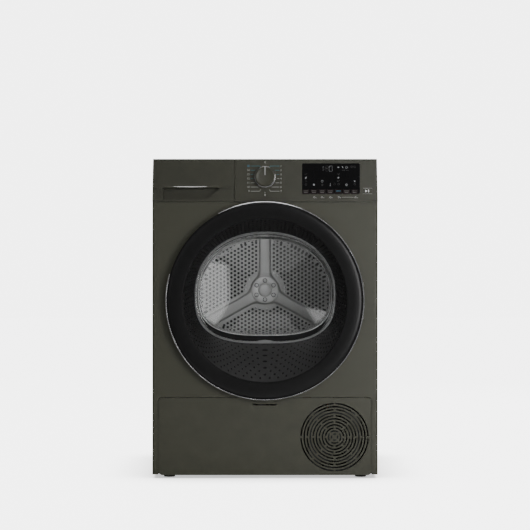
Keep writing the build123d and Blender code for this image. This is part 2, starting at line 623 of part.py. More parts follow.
def drum_bearing():
    """Bearing housing on the back panel's spider, which carries the drum's shaft."""
    y1 = BACK_Y - 2 * SHEET - 0.2
    housing = turned([(SHAFT_R, 256), (28, 256), (34, y1 - 8), (88, y1 - 5), (88, y1), (SHAFT_R, y1)],
                     0, DRUM_Z)
    return housing - rod_y(0, DRUM_Z, SHAFT_R + RUNNING, 250, 291)


def roller_place(side):
    """Centre of a front support roller, on the drum's lower left or lower right."""
    reach = DRUM_R + ROLLER_R + GAP
    return side * reach * sin(radians(ROLLER_ANGLE)), DRUM_Z - reach * cos(radians(ROLLER_ANGLE))


def support_roller(side):
    """Front support roller under the drum's edge."""
    x, z = roller_place(side)
    y0 = DRUM_FRONT_Y + 16
    return turned([(5 + RUNNING, y0), (10, y0), (10, y0 + 3), (ROLLER_R - 2, y0 + 3), (ROLLER_R, y0 + 5),
                   (ROLLER_R, y0 + 17), (ROLLER_R - 2, y0 + 19), (5 + RUNNING, y0 + 19)], x, z)


def drum_belt():
    """Flat belt round the drum and the motor's pulley."""
    def loop(extra):
        rims = disc(0, DRUM_Z, DRUM_R + extra).edges() + disc(MOTOR_X, MOTOR_Z, PULLEY_R + extra).edges()
        return make_hull(rims)

    return slab_y(loop(GAP + 1.8) - loop(GAP), BELT_Y - BELT_W / 2, BELT_Y + BELT_W / 2)


def motor_body():
    """Drive motor with a ribbed can and two end bells."""
    return turned([(6 + RUNNING, 28), (14, 28), (16, 36), (44, 40), (52, 52), (52, 60), (49, 62), (49, 108),
                   (52, 110), (52, 118), (44, 130), (16, 134), (14, 142), (6 + RUNNING, 142)],
                  MOTOR_X, MOTOR_Z)


def motor_shaft():
    """Motor shaft with the belt pulley at its front end and room for the fan at its rear."""
    pulley = rod_y(MOTOR_X, MOTOR_Z, PULLEY_R, BELT_Y - 9, BELT_Y + 9)
    return rod_y(MOTOR_X, MOTOR_Z, 6.0, BELT_Y - 9, 206.0) + pulley


def fan_impeller():
    """Radial fan wheel for the drying air."""
    y0, y1 = 166.0, 204.0
    wheel = turned([(6, y0), (14, y0), (16, y1 - 4), (62, y1 - 3), (62, y1), (6, y1)], MOTOR_X, MOTOR_Z)
    blade = Pos(49, 0) * Rot(Z=35) * Rectangle(24, 1.6)
    blades = [Pos(MOTOR_X, MOTOR_Z) * Rot(Z=360 * step / 16) * blade for step in range(16)]
    return wheel + [slab_y(one, y0 + 2, y1 - 2) for one in blades]


def fan_housing():
    """Round fan casing that blows through the back panel into the rear duct."""
    y0, y1 = 156.0, BACK_Y - 2 * SHEET - 0.2
    casing = tube_y(MOTOR_X, MOTOR_Z, 74.0, 71.0, y0, y1)
    return casing + tube_y(MOTOR_X, MOTOR_Z, 73.0, 30.0, y0, y0 + 3)


def base_pan():
    """Moulded base with low walls, the air tunnel's partition and a sump."""
    tray = block(-292, 292, -258, 294, BASE_Z, 120)
    tray -= block(-288, 288, -254, 290, BASE_Z + 4, 121)
    tray -= block(-270, 284, -262, -250, BASE_Z + 16, 121)
    tray -= block(60, 240, 286, 296, 34, 121)
    tray += block(-26, -22, -250, 150, BASE_Z + 2, 168)
    tray += block(-289, -22, 146, 150, BASE_Z + 2, 60)
    for x in (-255.0, 255.0):
        for y in (FRONT_Y + 46, BACK_Y - 40):
            tray += rod_z(x, y, 12.0, BASE_Z + 3, BASE_Z + 26)
            tray -= rod_z(x, y, 5.0, BASE_Z - 1, BASE_Z + 25)
    saddle = pane(MOTOR_X - 44, MOTOR_X + 44, BASE_Z + 2, MOTOR_Z - 20) - disc(MOTOR_X, MOTOR_Z, 52.0)
    for y in (52.5, 110.5):
        tray += slab_y(saddle, y, y + 7)
    for side in (-1, 1):
        near, far = (264, 271) if side > 0 else (-271, -264)
        tray += block(near, far, KICK_AXIS_Y - 4.5, -254, KICK_AXIS_Z - 4.5, KICK_AXIS_Z + 6)
    return tray - slab_x(disc(KICK_AXIS_Y, KICK_AXIS_Z, 3.0 + RUNNING), -280, 280)


def kick_panel():
    """Drop-down kick panel with its round vent grille, latch window and hinge pins."""
    wall, depth = 2.5, 7.0
    shape = pane(-KICK_HALF_W, KICK_HALF_W, KICK_LOW_Z, KICK_TOP_Z, 11.0)
    panel = slab_y(shape, FRONT_Y, FRONT_Y + depth)
    panel -= slab_y(offset(shape, -wall), FRONT_Y + wall, FRONT_Y + depth + 1)
    panel -= slab_y(pane(-31, 31, 193, 208), FRONT_Y - 1, FRONT_Y + wall + 1)
    slots = [slot for ring in range(1, SLOT_RINGS + 1) for slot in grille_slots(ring)]
    panel -= [slab_y(slot, FRONT_Y - 1, FRONT_Y + wall + 1) for slot in slots]
    for side in (-1, 1):
        near, far = (255, 262) if side > 0 else (-262, -255)
        panel += block(near, far, FRONT_Y + 1, KICK_AXIS_Y + 4, KICK_LOW_Z + 2, KICK_AXIS_Z + 6)
        ends = (261, 273) if side > 0 else (-273, -261)
        panel += slab_x(disc(KICK_AXIS_Y, KICK_AXIS_Z, 3.0), *ends)
        notch = (262.5, 273.5) if side > 0 else (-273.5, -262.5)
        panel -= block(*notch, FRONT_Y + wall, FRONT_Y + depth + 1, KICK_LOW_Z - 1, KICK_LOW_Z + wall + 1)
    return panel


def grille_slots(ring):
    """Four arc slots of one grille ring; bridges are upright on odd rings, on the diagonals on even ones."""
    middle = SLOT_PITCH * ring
    band = disc(GRILLE_X, GRILLE_Z, middle + SLOT_W / 2) - disc(GRILLE_X, GRILLE_Z, middle - SLOT_W / 2)
    first = 0.0 if ring % 2 and ring > 1 else 45.0
    for turn in (first, first + 90.0):
        band -= Pos(GRILLE_X, GRILLE_Z) * Rot(Z=turn) * Rectangle(4 * middle, 5.0)
    return band.faces()


def kick_latch():
    """Push-down latch tab in the top of the kick panel."""
    tab = Polygon((-26.5, 196.3), (26.5, 196.3), (29.5, 207), (-29.5, 207))
    latch = slab_y(tab, FRONT_Y + 0.4, FRONT_Y + 3.0)
    guide = slab_y(pane(-34, 34, 197, 209.5, 2.0), FRONT_Y + 3.0, FRONT_Y + 6.0)
    return latch + guide


def exchanger_cover():
    """Cover over the heat exchanger's service opening, behind the kick panel."""
    cover = slab_y(pane(-266, -32, 27, 162, 10.0), -256, -250)
    cover -= slab_y(pane(-250, -48, 43, 146, 6.0), -258, -253)
    for x in LEVER_X:
        cover += rod_y(x, LEVER_Z, 13.0, -256, -250)
        cover -= rod_y(x, LEVER_Z, 5.0 + RUNNING, -260, -249)
    return cover


def lock_lever(x):
    """Quarter-turn lever that locks the heat exchanger cover."""
    grip = pane(x - 9, x + 9, LEVER_Z - 40, LEVER_Z + 9, 8.0)
    lever = slab_y(grip, -264, -256.4)
    lever = fillet(lever.edges().group_by(Axis.Y)[0], 2.0)
    return lever + rod_y(x, LEVER_Z, 5.0, -258, -248)


def fin_block(y0, y1):
    """Finned heat exchanger block with end plates, open along the air's way."""
    low, high, left, right = BASE_Z + 14, 160, -262, -38
    fins = pane(left, right, low, high)
    pitch = 9.0
    count = int((right - left - 10) / pitch)
    for step in range(count):
        x = left + 8 + pitch * (step + 0.5)
        fins -= pane(x - 3.6, x + 3.6, low + 4, high - 4)
    return slab_y(fins, y0, y1)


def evaporator():
    """Cold heat exchanger, nearest the cover."""
    return fin_block(-215, -110)


def condenser():
    """Warm heat exchanger, behind the cold one."""
    return fin_block(-80, 110)


def compressor():
    """Upright compressor with domed ends on its rubber-footed plate."""
    x, y = COMPRESSOR
    half = [(0, 26), (40, 26), (58, 44), (60, 60), (60, 138), (56, 154), (38, 172), (0, 176)]
    upright = Plane(origin=(x, y, 0), x_dir=(1, 0, 0), z_dir=(0, -1, 0))
    shell = revolve(upright * Polygon(*half), Axis((x, y, 0), (0, 0, 1)))
    plate = slab_z(Pos(x, y) * RectangleRounded(150, 130, 20), 20, 24)
    posts = [rod_z(x + a * 58, y + b * 48, 9.0, BASE_Z + 4, 20) for a in (-1, 1) for b in (-1, 1)]
    return shell + rod_z(x, y, 34.0, 22, 30) + plate + posts


def refrigerant_pipes():
    """Copper pipes from the compressor to the two heat exchangers."""
    x, y = COMPRESSOR
    routes = [
        [(x - 20, y, 174.4), (x - 20, y, 200), (40, y, 200), (40, -165, 200), (-60, -165, 200),
         (-60, -165, 160.2)],
        [(x + 20, y, 174.4), (x + 20, y, 190), (x + 20, -60, 190), (10, -60, 190), (10, -20, 190),
         (-60, -20, 190), (-60, -20, 160.2)],
    ]
    pipes = []
    for route in routes:
        path = FilletPolyline(*route, radius=9.0)
        pipes.append(sweep(Plane(path @ 0, z_dir=path % 0) * Circle(4.0), path))
    return Compound(children=pipes)


def condensate_pump():
    """Small pump in the sump, which lifts condensate to the water tank."""
    x, y = -215.0, 215.0
    body = rod_z(x, y, 26.0, BASE_Z + 4, 60) + rod_z(x, y, 20.0, 60, 96)
    spout = slab_y(disc(x, 40, 6.0), y + 20, y + 46)
    return body + spout


def cooling_fan_frame():
    """Square frame of the compressor's cooling fan, behind the grille, with its motor hub on three arms."""
    x, z = GRILLE_X, GRILLE_Z
    frame = slab_y(pane(x - 66, x + 66, z - 66, z + 66, 8.0) - disc(x, z, 61.0), -254, -228)
    arms = disc(x, z, 20.0)
    for turn in (90, 210, 330):
        arms += Pos(x, z) * Rot(Z=turn) * Pos(36, 0) * Rectangle(60, 6)
    frame += slab_y(arms, -234, -228)
    for left, right in ((-60, -40), (34, 52)):
        frame += block(x + left, x + right, -252, -230, BASE_Z + 4, z - 64)
    return frame - rod_y(x, z, 3.0 + RUNNING, -240, -226)


def cooling_fan():
    """Cooling fan wheel with swept blades."""
    x, z = GRILLE_X, GRILLE_Z
    hub = turned([(0, -236), (22, -236), (22, -250), (19, -253), (0, -253)], x, z)
    blade = Pos(39, 0, 0) * Rot(X=32) * Box(38, 20, 1.8)
    plane = Plane(origin=(x, -244, z), x_dir=(1, 0, 0), z_dir=(0, -1, 0))
    blades = [plane * (Rot(Z=360 * step / 7) * blade) for step in range(7)]
    return hub + blades + rod_y(x, z, 3.0, -237, -229)


PIECES = [
    front_panel, control_panel, drawer_front, water_tank, tank_tray, display_window, display_board,
    start_button, knob_cap, knob_ring, knob_pointer, top_panel, back_panel, rear_duct_cover,
    terminal_cover, drain_spigot, levelling_feet, door_ring, chrome_trim, door_funnel, door_glass,
    door_inner_frame, door_catch, door_lock, door_seal, hinge_bracket, hinge_pin, hinge_leaf,
    front_bulkhead, lint_filter, drum_shell, drum_back, drum_lifters, drum_hub, hub_screws, drum_shaft,
    drum_seals, drum_bearing, drum_belt, motor_body, motor_shaft, fan_impeller, fan_housing, base_pan,
    kick_panel, kick_latch, exchanger_cover, evaporator, condenser, compressor, refrigerant_pipes,
    condensate_pump, cooling_fan_frame, cooling_fan,
]

if __name__ == "__main__":
    os.makedirs("parts", exist_ok=True)
    for piece in PIECES:
        export_step(piece(), "parts/" + piece.__name__ + ".step")
    for name, side in (("left", -1), ("right", 1)):
        export_step(side_panel(side), "parts/" + name + "_side_panel.step")
        export_step(support_roller(side), "parts/" + name + "_support_roller.step")
    for name, x in zip(("left", "right"), LEVER_X):
        export_step(lock_lever(x), "parts/" + name + "_lock_lever.step")
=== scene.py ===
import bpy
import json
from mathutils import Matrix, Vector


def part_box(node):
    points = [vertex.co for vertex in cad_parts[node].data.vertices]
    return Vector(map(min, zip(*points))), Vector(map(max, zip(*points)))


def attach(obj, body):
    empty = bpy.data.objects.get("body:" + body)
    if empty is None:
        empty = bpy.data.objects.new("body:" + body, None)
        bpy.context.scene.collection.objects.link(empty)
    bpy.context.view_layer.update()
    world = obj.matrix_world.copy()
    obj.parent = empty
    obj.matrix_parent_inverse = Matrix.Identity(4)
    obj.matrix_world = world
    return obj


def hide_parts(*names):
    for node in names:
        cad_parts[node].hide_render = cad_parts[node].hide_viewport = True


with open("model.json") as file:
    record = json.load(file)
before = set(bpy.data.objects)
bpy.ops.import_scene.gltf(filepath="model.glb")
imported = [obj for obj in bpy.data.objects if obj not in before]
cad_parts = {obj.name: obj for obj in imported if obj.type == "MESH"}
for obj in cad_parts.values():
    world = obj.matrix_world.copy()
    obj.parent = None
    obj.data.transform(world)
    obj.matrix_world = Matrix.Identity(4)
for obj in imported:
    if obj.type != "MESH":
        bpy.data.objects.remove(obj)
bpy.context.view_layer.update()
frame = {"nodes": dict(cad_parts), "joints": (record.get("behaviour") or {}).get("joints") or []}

import json
from math import atan2, cos, copysign, hypot, pi, radians, sin

import bmesh
import bpy
import numpy as np
from bpy.props import FloatProperty, FloatVectorProperty, PointerProperty
from mathutils import Matrix, Vector

bl_info = {
    "name": "Clothes dryer",
    "version": (1, 0, 0),
    "blender": (4, 5, 0),
    "location": "3D View > Sidebar > Dryer",
    "description": "Finishes, door, drum, controls and studio for a front-loading clothes dryer",
    "category": "Object",
}


def corners_of(box):
    """Lowest and highest corner of a box of the packed model."""
    return tuple(Vector(corner) for corner in box)


# Places read from the packed model, in metres
DOOR_LOW, DOOR_HIGH = corners_of(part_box("door_ring"))
DRUM_LOW, DRUM_HIGH = corners_of(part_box("drum_shell"))
GLASS_LOW, GLASS_HIGH = corners_of(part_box("door_glass"))
KEY_LOW, KEY_HIGH = corners_of(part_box("start_button"))
SCREEN_LOW = corners_of(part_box("display_window"))[0]
FRONT_Y = corners_of(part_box("front_panel"))[0].y
FASCIA_Y = corners_of(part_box("control_panel"))[0].y
JOINT = {joint["name"]: joint for joint in frame["joints"]}
DOOR_Z, DRUM_Z, KNOB_Z = (JOINT[name]["pos_m"][2] for name in ("door_swing", "drum_spin", "knob_turn"))

# Door window: middle height, half width, rise and drop of its front edge and of the bowl's back, fullness of its arches
WINDOW_Z = 0.487
WINDOW_FRONT = (0.187, 0.166, 0.131)
BOWL_BACK = (0.184, 0.157, 0.117)
ARCH_UP, ARCH_DOWN = 2.15, 2.9
# Glass bowl: wall thickness, bulge of its back and depth of the heel between wall and back
GLASS_WALL, BOWL_DOME, BOWL_HEEL = 0.004, 0.0135, 0.010
# Depth from the door's face at which ring and trim end over the hinge
HINGE_POCKET = 0.0076
# Directions of the star's spokes and of the lifters, in degrees
SPOKES = (90, 210, 330)
# Sides of one tile of the funnel or of the drum's sheet
TILE_SIDES = 12
# How far printed marks stand proud of their surface and reach into it
MARK_PROUD, MARK_ROOT = 0.00014, 0.00012
# Edges that bend by more than this stay sharp
SHARP = radians(32)


def colour_prop(name, description, default):
    """A colour setting in linear light."""
    return FloatVectorProperty(name=name, description=description, subtype="COLOR", size=3, min=0, max=1,
                               default=default)


def length_prop(name, description, default):
    """A length setting in metres."""
    return FloatProperty(name=name, description=description, unit="LENGTH", subtype="DISTANCE", default=default,
                         precision=4)


class DryerCabinet(bpy.types.PropertyGroup):
    """Paint and plastic of the cabinet."""
    paint: colour_prop("Paint", "Satin olive-grey of the sheet panels", (0.067, 0.0675, 0.0455))
    plastic: colour_prop("Fascia plastic", "Moulded control panel, drawer and knob", (0.051, 0.0515, 0.0345))
    roughness: FloatProperty(name="Paint roughness", description="Satin sheen of the paint", default=0.42, min=0,
                             max=1, subtype="FACTOR")


class DryerDoor(bpy.types.PropertyGroup):
    """Sizes and colours of the round door."""
    outer_radius: length_prop("Ring radius", "Black ring, inside the bright trim", 0.259)
    trim_radius: length_prop("Trim radius", "Outside of the bright trim", 0.262)
    inner_radius: length_prop("Inner radius", "Where the ring meets the funnel", 0.216)
    grip_start: FloatProperty(name="Grip start", description="Where the finger grip begins", subtype="ANGLE",
                              default=radians(118.0))
    grip_end: FloatProperty(name="Grip end", description="Where the finger grip ends", subtype="ANGLE",
                            default=radians(164.5))
    dimple_pitch: length_prop("Dimple pitch", "Spacing of the funnel's dimples along one row", 0.0218)
    dimple_radius: length_prop("Dimple radius", "Radius of one dimple", 0.0026)
    dimple_depth: length_prop("Dimple depth", "Depth of one dimple", 0.0024)
    black: colour_prop("Black", "Glossy door ring", (0.0125, 0.0125, 0.0128))


class DryerDrum(bpy.types.PropertyGroup):
    """Sizes of the drum's inner surfaces."""
    hole_radius: length_prop("Hole radius", "Air hole in the drum's back", 0.0037)
    hole_pitch: length_prop("Hole pitch", "Spacing of the air holes", 0.0121)
    spoke_width: length_prop("Spoke width", "Width of one embossed spoke", 0.033)
    hub_radius: length_prop("Hub radius", "Round hub plate", 0.0397)
    steel: colour_prop("Steel", "Drum sheet", (0.36, 0.36, 0.355))


class DryerPrint(bpy.types.PropertyGroup):
    """Printed and lit marks on the control panel."""
    ink: colour_prop("Ink", "Printed numerals and lines", (0.54, 0.54, 0.50))
    accent: colour_prop("Accent", "Blue-green leader lines", (0.05, 0.22, 0.26))
    lit: colour_prop("Lit", "Lit digits and icons", (0.25, 0.26, 0.27))


class DryerStage(bpy.types.PropertyGroup):
    """Camera and light."""
    lens: FloatProperty(name="Lens", description="Focal length", default=120.0, min=20, max=300, unit="CAMERA")
    view_width: length_prop("View width", "Width seen at the front panel", 1.402)
    eye_height: length_prop("Eye height", "Height of the camera", 0.5643)
    key_power: FloatProperty(name="Key light", description="Power of the key light on the right", default=40.0,
                             unit="POWER")
    room: FloatProperty(name="Room light", description="Even light from all round", default=0.15)
    backdrop: FloatProperty(name="Backdrop", description="Brightness of the white floor and backdrop", default=5.0)
    drum_power: FloatProperty(name="Drum light", description="Power of the light inside the drum", default=0.34,
                              unit="POWER")


def input_of(node, name, value):
    """Set a constant on one of a node's own sockets."""
    node.inputs[name].default_value = value


def add_node(tree, kind, **inputs):
    """New shader node of a kind, with its inputs set to values or linked to other nodes' outputs."""
    node = tree.nodes.new("ShaderNode" + kind)
    for name, value in inputs.items():
        if isinstance(value, bpy.types.NodeSocket):
            tree.links.new(value, node.inputs[name])
        else:
            input_of(node, name, value)
    return node


def base_finish(name, colour, roughness, metallic=0.0, specular=0.5):
    """New material with constants on its shader; returns the material, its nodes' tree and the shader."""
    material = bpy.data.materials.new(name)
    material.use_nodes = True
    tree = material.node_tree
    shader = tree.nodes["Principled BSDF"]
    input_of(shader, "Base Color", (*colour, 1.0))
    input_of(shader, "Roughness", roughness)
    input_of(shader, "Metallic", metallic)
    input_of(shader, "Specular IOR Level", specular)
    return material, tree, shader


def object_noise(tree, scale, detail=2.0, stretch=(1, 1, 1)):
    """Noise on Object coordinates, stretched if asked for; returns its value socket."""
    places = add_node(tree, "Mapping", Vector=add_node(tree, "TexCoord").outputs["Object"], Scale=stretch)
    return add_node(tree, "TexNoise", Vector=places.outputs["Vector"], Scale=scale, Detail=detail).outputs["Fac"]


def add_bump(tree, shader, height, strength, distance):
    """Bump from a height socket."""
    bump = add_node(tree, "Bump", Height=height, Strength=strength, Distance=distance)
    tree.links.new(bump.outputs["Normal"], shader.inputs["Normal"])


def add_ramp(tree, value, low, high, socket, start=0.3, end=0.7):
    """Colour or grey ramp from a value socket into a shader socket."""
    ramp = add_node(tree, "ValToRGB", Fac=value)
    first, last = ramp.color_ramp.elements
    first.position, first.color = start, low
    last.position, last.color = end, high
    tree.links.new(ramp.outputs["Color"], socket)


def grey(value):
    """Opaque grey for a ramp."""
    return (value, value, value, 1.0)


def tinted(colour, factor):
    """A colour made lighter or darker for a ramp."""
    return (*[min(1.0, channel * factor) for channel in colour], 1.0)


def drifting_finish(name, colour, roughness, tone, sheen, specular=0.36):
    """Finish whose tone and sheen drift; each is its noise's scale and detail, then its low and its high end."""
    material, tree, shader = base_finish(name, colour, roughness, specular=specular)
    scale, detail, low, high = tone
    add_ramp(tree, object_noise(tree, scale, detail), tinted(colour, low), tinted(colour, high),
             shader.inputs["Base Color"])
    scale, detail, low, high = sheen
    add_ramp(tree, object_noise(tree, scale, detail), grey(roughness + low), grey(roughness + high),
             shader.inputs["Roughness"])
    return material, tree, shader


def painted_sheet(name, colour, roughness):
    """Satin powder paint: fine orange peel, with a slight drift of tone and sheen."""
    tone, sheen = (3.0, 2.0, 0.96, 1.05), (60.0, 3.0, -0.03, 0.05)
    material, tree, shader = drifting_finish(name, colour, roughness, tone, sheen)
    add_bump(tree, shader, object_noise(tree, 900.0), 0.10, 0.0004)
    return material


def moulded_plastic(name, colour, roughness, grain=1500.0, depth=0.12):
    """Moulded plastic with a fine spark-eroded grain."""
    tone, sheen = (25.0, 3.0, 0.93, 1.06), (140.0, 4.0, -0.04, 0.06)
    material, tree, shader = drifting_finish(name, colour, roughness, tone, sheen)
    add_bump(tree, shader, object_noise(tree, grain), depth, 0.0003)
    return material


def gloss_black(name, colour, roughness, specular=0.45):
    """Glossy moulded black with faint flow marks in its sheen."""
    tone, sheen = (8.0, 3.0, 0.9, 1.15), (30.0, 4.0, -0.01, 0.015)
    return drifting_finish(name, colour, roughness, tone, sheen, specular)[0]


def metal(name, colour, roughness, brushed=None, strength=0.06, metallic=1.0):
    """Bare or plated metal; brushed gives the stretch of its grain on the three axes."""
    material, tree, shader = base_finish(name, colour, roughness, metallic)
    stretch = brushed or (1, 1, 1)
    grain = object_noise(tree, 220.0 if brushed else 40.0, 4.0, stretch)
    add_ramp(tree, grain, grey(max(0.02, roughness - 0.06)), grey(roughness + 0.08), shader.inputs["Roughness"])
    add_bump(tree, shader, grain, strength, 0.0002)
    return material


def galvanised_sheet(name, painted_shade_radius):
    """Galvanised sheet with its zinc spangle, and painted shade: near-black round the drum's axis, so the drum's holes
    look dark.
    """
    colour = (0.42, 0.43, 0.44)
    material, tree, shader = base_finish(name, colour, 0.42, 0.85)
    places = add_node(tree, "TexCoord").outputs["Object"]
    spangle = add_node(tree, "TexVoronoi", Vector=places, Scale=90.0).outputs["Color"]
    flat = add_node(tree, "Mapping", Vector=places, Location=(0, 0, -DRUM_Z), Scale=(1, 0, 1))
    span = add_node(tree, "VectorMath", Vector=flat.outputs["Vector"])
    span.operation = "LENGTH"
    outside = add_node(tree, "Math", Value=span.outputs["Value"])
    outside.operation, outside.inputs[1].default_value = "GREATER_THAN", painted_shade_radius
    # Painted shade: near-black inside the radius round the drum's axis, spangled zinc outside it.
    painted_shade_mix = add_node(tree, "MixRGB", Fac=outside.outputs["Value"], Color1=grey(0.02))
    add_ramp(tree, spangle, tinted(colour, 0.82), tinted(colour, 1.1), painted_shade_mix.inputs["Color2"], 0.0, 1.0)
    add_ramp(tree, spangle, grey(0.34), grey(0.52), shader.inputs["Roughness"], 0.0, 1.0)
    tree.links.new(painted_shade_mix.outputs["Color"], shader.inputs["Base Color"])
    return material


def clear_glass(name):
    """Clear pressed door glass."""
    material, _, shader = base_finish(name, (0.95, 0.96, 0.96), 0.0)
    input_of(shader, "Transmission Weight", 1.0)
    input_of(shader, "IOR", 1.6)
    return material


def soft_black(name, colour, roughness):
    """Matt moulded black, slightly dusty in its sheen."""
    return moulded_plastic(name, colour, roughness, 900.0, 0.2)


def dimpled_black(name):
    """Satin moulded black, dull inside its dimples, with painted shade: near-black in the dimples and along the
    funnel's front edge.
    """
    black, satin, dull = 0.013, 0.42, 0.95
    material, tree, shader = base_finish(name, (black, black, 0.0133), satin)
    pit = add_node(tree, "Attribute")
    pit.attribute_name = "pit"
    # Painted shade: base colour goes near-black where the pit attribute is high, in the dimples and along the front
    # edge.
    add_ramp(tree, pit.outputs["Fac"], grey(black), grey(0.001), shader.inputs["Base Color"], 0.1, 0.7)
    add_ramp(tree, pit.outputs["Fac"], grey(satin), grey(dull), shader.inputs["Roughness"], 0.1, 0.7)
    add_bump(tree, shader, object_noise(tree, 900.0), 0.08, 0.0003)
    return material


def felt_pad(name):
    """Grey pressed felt."""
    colour = (0.22, 0.21, 0.20)
    material, tree, shader = base_finish(name, colour, 0.95)
    fibres = object_noise(tree, 700.0, 6.0)
    add_ramp(tree, fibres, tinted(colour, 0.7), tinted(colour, 1.3), shader.inputs["Base Color"])
    add_bump(tree, shader, fibres, 0.5, 0.001)
    input_of(shader, "Sheen Weight", 0.4)
    return material


def lit_mark(name, colour, power):
    """Printed or lit mark that glows a little."""
    material, tree, shader = base_finish(name, colour, 0.5)
    add_ramp(tree, object_noise(tree, 400.0), tinted(colour, 0.9), tinted(colour, 1.1), shader.inputs["Base Color"])
    input_of(shader, "Emission Color", (*colour, 1.0))
    input_of(shader, "Emission Strength", power)
    return material


def grid_faces(rows, columns, loop=False):
    """Quads between rings of points, and back to the first ring if they loop."""
    faces = []
    for row in range(rows if loop else rows - 1):
        above = (row + 1) % rows
        for column in range(columns):
            beside = (column + 1) % columns
            faces.append((row * columns + column, row * columns + beside, above * columns + beside,
                          above * columns + column))
    return faces


def settled(work, mesh):
    """Write finished geometry into its mesh, smooth but for its sharp edges."""
    work.to_mesh(mesh)
    work.free()
    mesh.shade_smooth()
    mesh.set_sharp_from_angle(angle=SHARP)
    return mesh


def mesh_of(name, points, faces):
    """Mesh from points and faces, with its normals turned outwards."""
    mesh = bpy.data.meshes.new(name)
    mesh.from_pydata([tuple(point) for point in points], [], faces)
    work = bmesh.new()
    work.from_mesh(mesh)
    bmesh.ops.remove_doubles(work, verts=work.verts, dist=1e-6)
    bmesh.ops.recalc_face_normals(work, faces=work.faces)
    return settled(work, mesh)


def place_piece(name, mesh, finish, body, replaced=()):
    """Object for a finished mesh, riding on its body and standing for the nodes that it replaces."""
    piece = bpy.data.objects.new(name, mesh)
    bpy.context.scene.collection.objects.link(piece)
    if finish is not None:
        piece.data.materials.clear()
        piece.data.materials.append(finish)
    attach(piece, body)
    if replaced:
        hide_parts(*replaced)
    return piece


def lofted(name, rings, loop=False):
    """Mesh through rings of points, back to the first ring if they loop, or else with a face on each end."""
    count = len(rings[0])
    faces = grid_faces(len(rings), count, loop)
    if not loop:
        faces += [tuple(range(count)), tuple(range((len(rings) - 1) * count, len(rings) * count))]
    return mesh_of(name, [point for ring in rings for point in ring], faces)


def turns(segments):
    """Equal steps of one full turn."""
    return [2 * pi * step / segments for step in range(segments)]


def turned(profile, angle, z):
    """Points of an outline of radius and y at one direction round an axis along Y at height z."""
    return [(radius * cos(angle), y, z + radius * sin(angle)) for radius, y in profile]


def spun(name, profile, z, segments):
    """Mesh of a closed outline of radius and y turned about an axis along Y at height z."""
    return lofted(name, [turned(profile, angle, z) for angle in turns(segments)], loop=True)


def smoothstep(value, low, high):
    """Smooth 0 to 1 between two values."""
    t = min(1.0, max(0.0, (value - low) / (high - low)))
    return t * t * (3 - 2 * t)


def ring_weights(angle, door):
    """How far the ring's rim follows the finger grip and the hinge pocket at one direction."""
    blend, pocket_start, pocket_end = radians(2.0), 0.0535, 0.0550
    grip = smoothstep(angle, door.grip_start, door.grip_start + blend)
    grip *= 1 - smoothstep(angle, door.grip_end - blend, door.grip_end)
    reach = abs(door.outer_radius * sin(angle)) if cos(angle) > 0 else 1.0
    return grip, 1 - smoothstep(reach, pocket_start, pocket_end)


def ring_profile(angle, door):
    """Closed outline of the ring's channel at one direction: rim, crowned face, then the inside back again."""
    grip, hinge = ring_weights(angle, door)
    face, back, skin, grip_depth = DOOR_LOW.y, DOOR_HIGH.y, 0.003, 0.024
    outer, width = door.outer_radius, door.outer_radius - door.inner_radius
    rim = outer - grip_depth * grip

    def at_hinge(y):
        return y + (face + HINGE_POCKET - y) * hinge

    crown = ((0.0, 0.0074), (0.012, 0.0050), (0.035, 0.0030), (0.08, 0.0016), (0.16, 0.0006), (0.3, 0.0),
             (0.6, 0.0003), (0.9, 0.0010), (0.985, 0.0012), (1.0, 0.0013))
    path = [(rim, at_hinge(back)), (rim, at_hinge(face + 0.0150)), (outer - 0.003 * grip, at_hinge(face + 0.0136)),
            (outer - 0.0008 * grip, at_hinge(face + 0.0125))]
    path += [(outer - share * width, face + drop) for share, drop in crown]
    path += [(outer - share * width, face + drop + skin) for share, drop in reversed(crown[3:])]
    path += [(outer - 0.005, face + crown[0][1] + skin * (1 - hinge)), (rim - skin, at_hinge(face + 0.0115)),
             (rim - skin, at_hinge(back))]
    return path


def ring_mesh(door, segments=320):
    """Door ring as one channel swept round the door, with its grip and hinge pocket."""
    rings = [turned(ring_profile(angle, door), angle, DOOR_Z) for angle in turns(segments)]
    return lofted("door_ring_gloss", rings, loop=True)


def trim_mesh(door, segments=300):
    """Bright trim from one end of the grip round to the other, with closed ends."""
    face, depth = DOOR_LOW.y, 0.018
    inner, outer = door.outer_radius + 0.0001, door.trim_radius
    sweep = 2 * pi - (door.grip_end - door.grip_start)
    rings = []
    for step in range(segments + 1):
        angle = door.grip_end + sweep * step / segments
        hinge = ring_weights(atan2(sin(angle), cos(angle)), door)[1]
        back = face + depth + (HINGE_POCKET - depth) * hinge
        profile = [(inner, back), (outer - 0.0012, back), (outer, max(face + 0.0066, back - 0.002)),
                   (outer, face + 0.0064), (outer - 0.0006, face + 0.0050), (outer - 0.0018, face + 0.0041),
                   (outer - 0.0030, face + 0.0042), (inner, face + 0.0056)]
        rings.append(turned(profile, angle, DOOR_Z))
    return lofted("door_trim_bright", rings)


def window_point(angle, blend=0.0, grow=0.0):
    """Point of the door window's outline, from its front edge (blend 0) to the back of the glass bowl (1)."""
    rise = sin(angle)
    power = 2 / (ARCH_UP if rise >= 0 else ARCH_DOWN)
    half_w, up, down = (front + (back - front) * blend for front, back in zip(WINDOW_FRONT, BOWL_BACK))
    x = copysign(abs(cos(angle)) ** power, cos(angle)) * (half_w + grow)
    return x, WINDOW_Z + copysign(abs(rise) ** power, rise) * ((up if rise >= 0 else down) + grow)


def funnel_place(angle, share, door, sink=0.0):
    """Point of the funnel from the ring's edge (share 0) to the window's (1), sunk into its wall if asked for."""
    front, back = DOOR_LOW.y + 0.0101, GLASS_LOW.y
    ring_x, ring_z = door.inner_radius * cos(angle), DOOR_Z + door.inner_radius * sin(angle)
    x, z = window_point(angle)
    lead = share + 0.06 * sin(pi * share)
    place = Vector((ring_x + (x - ring_x) * lead, front + (back - front) * share, ring_z + (z - ring_z) * lead))
    return place + Vector((cos(angle), 0.8, sin(angle))).normalized() * sink


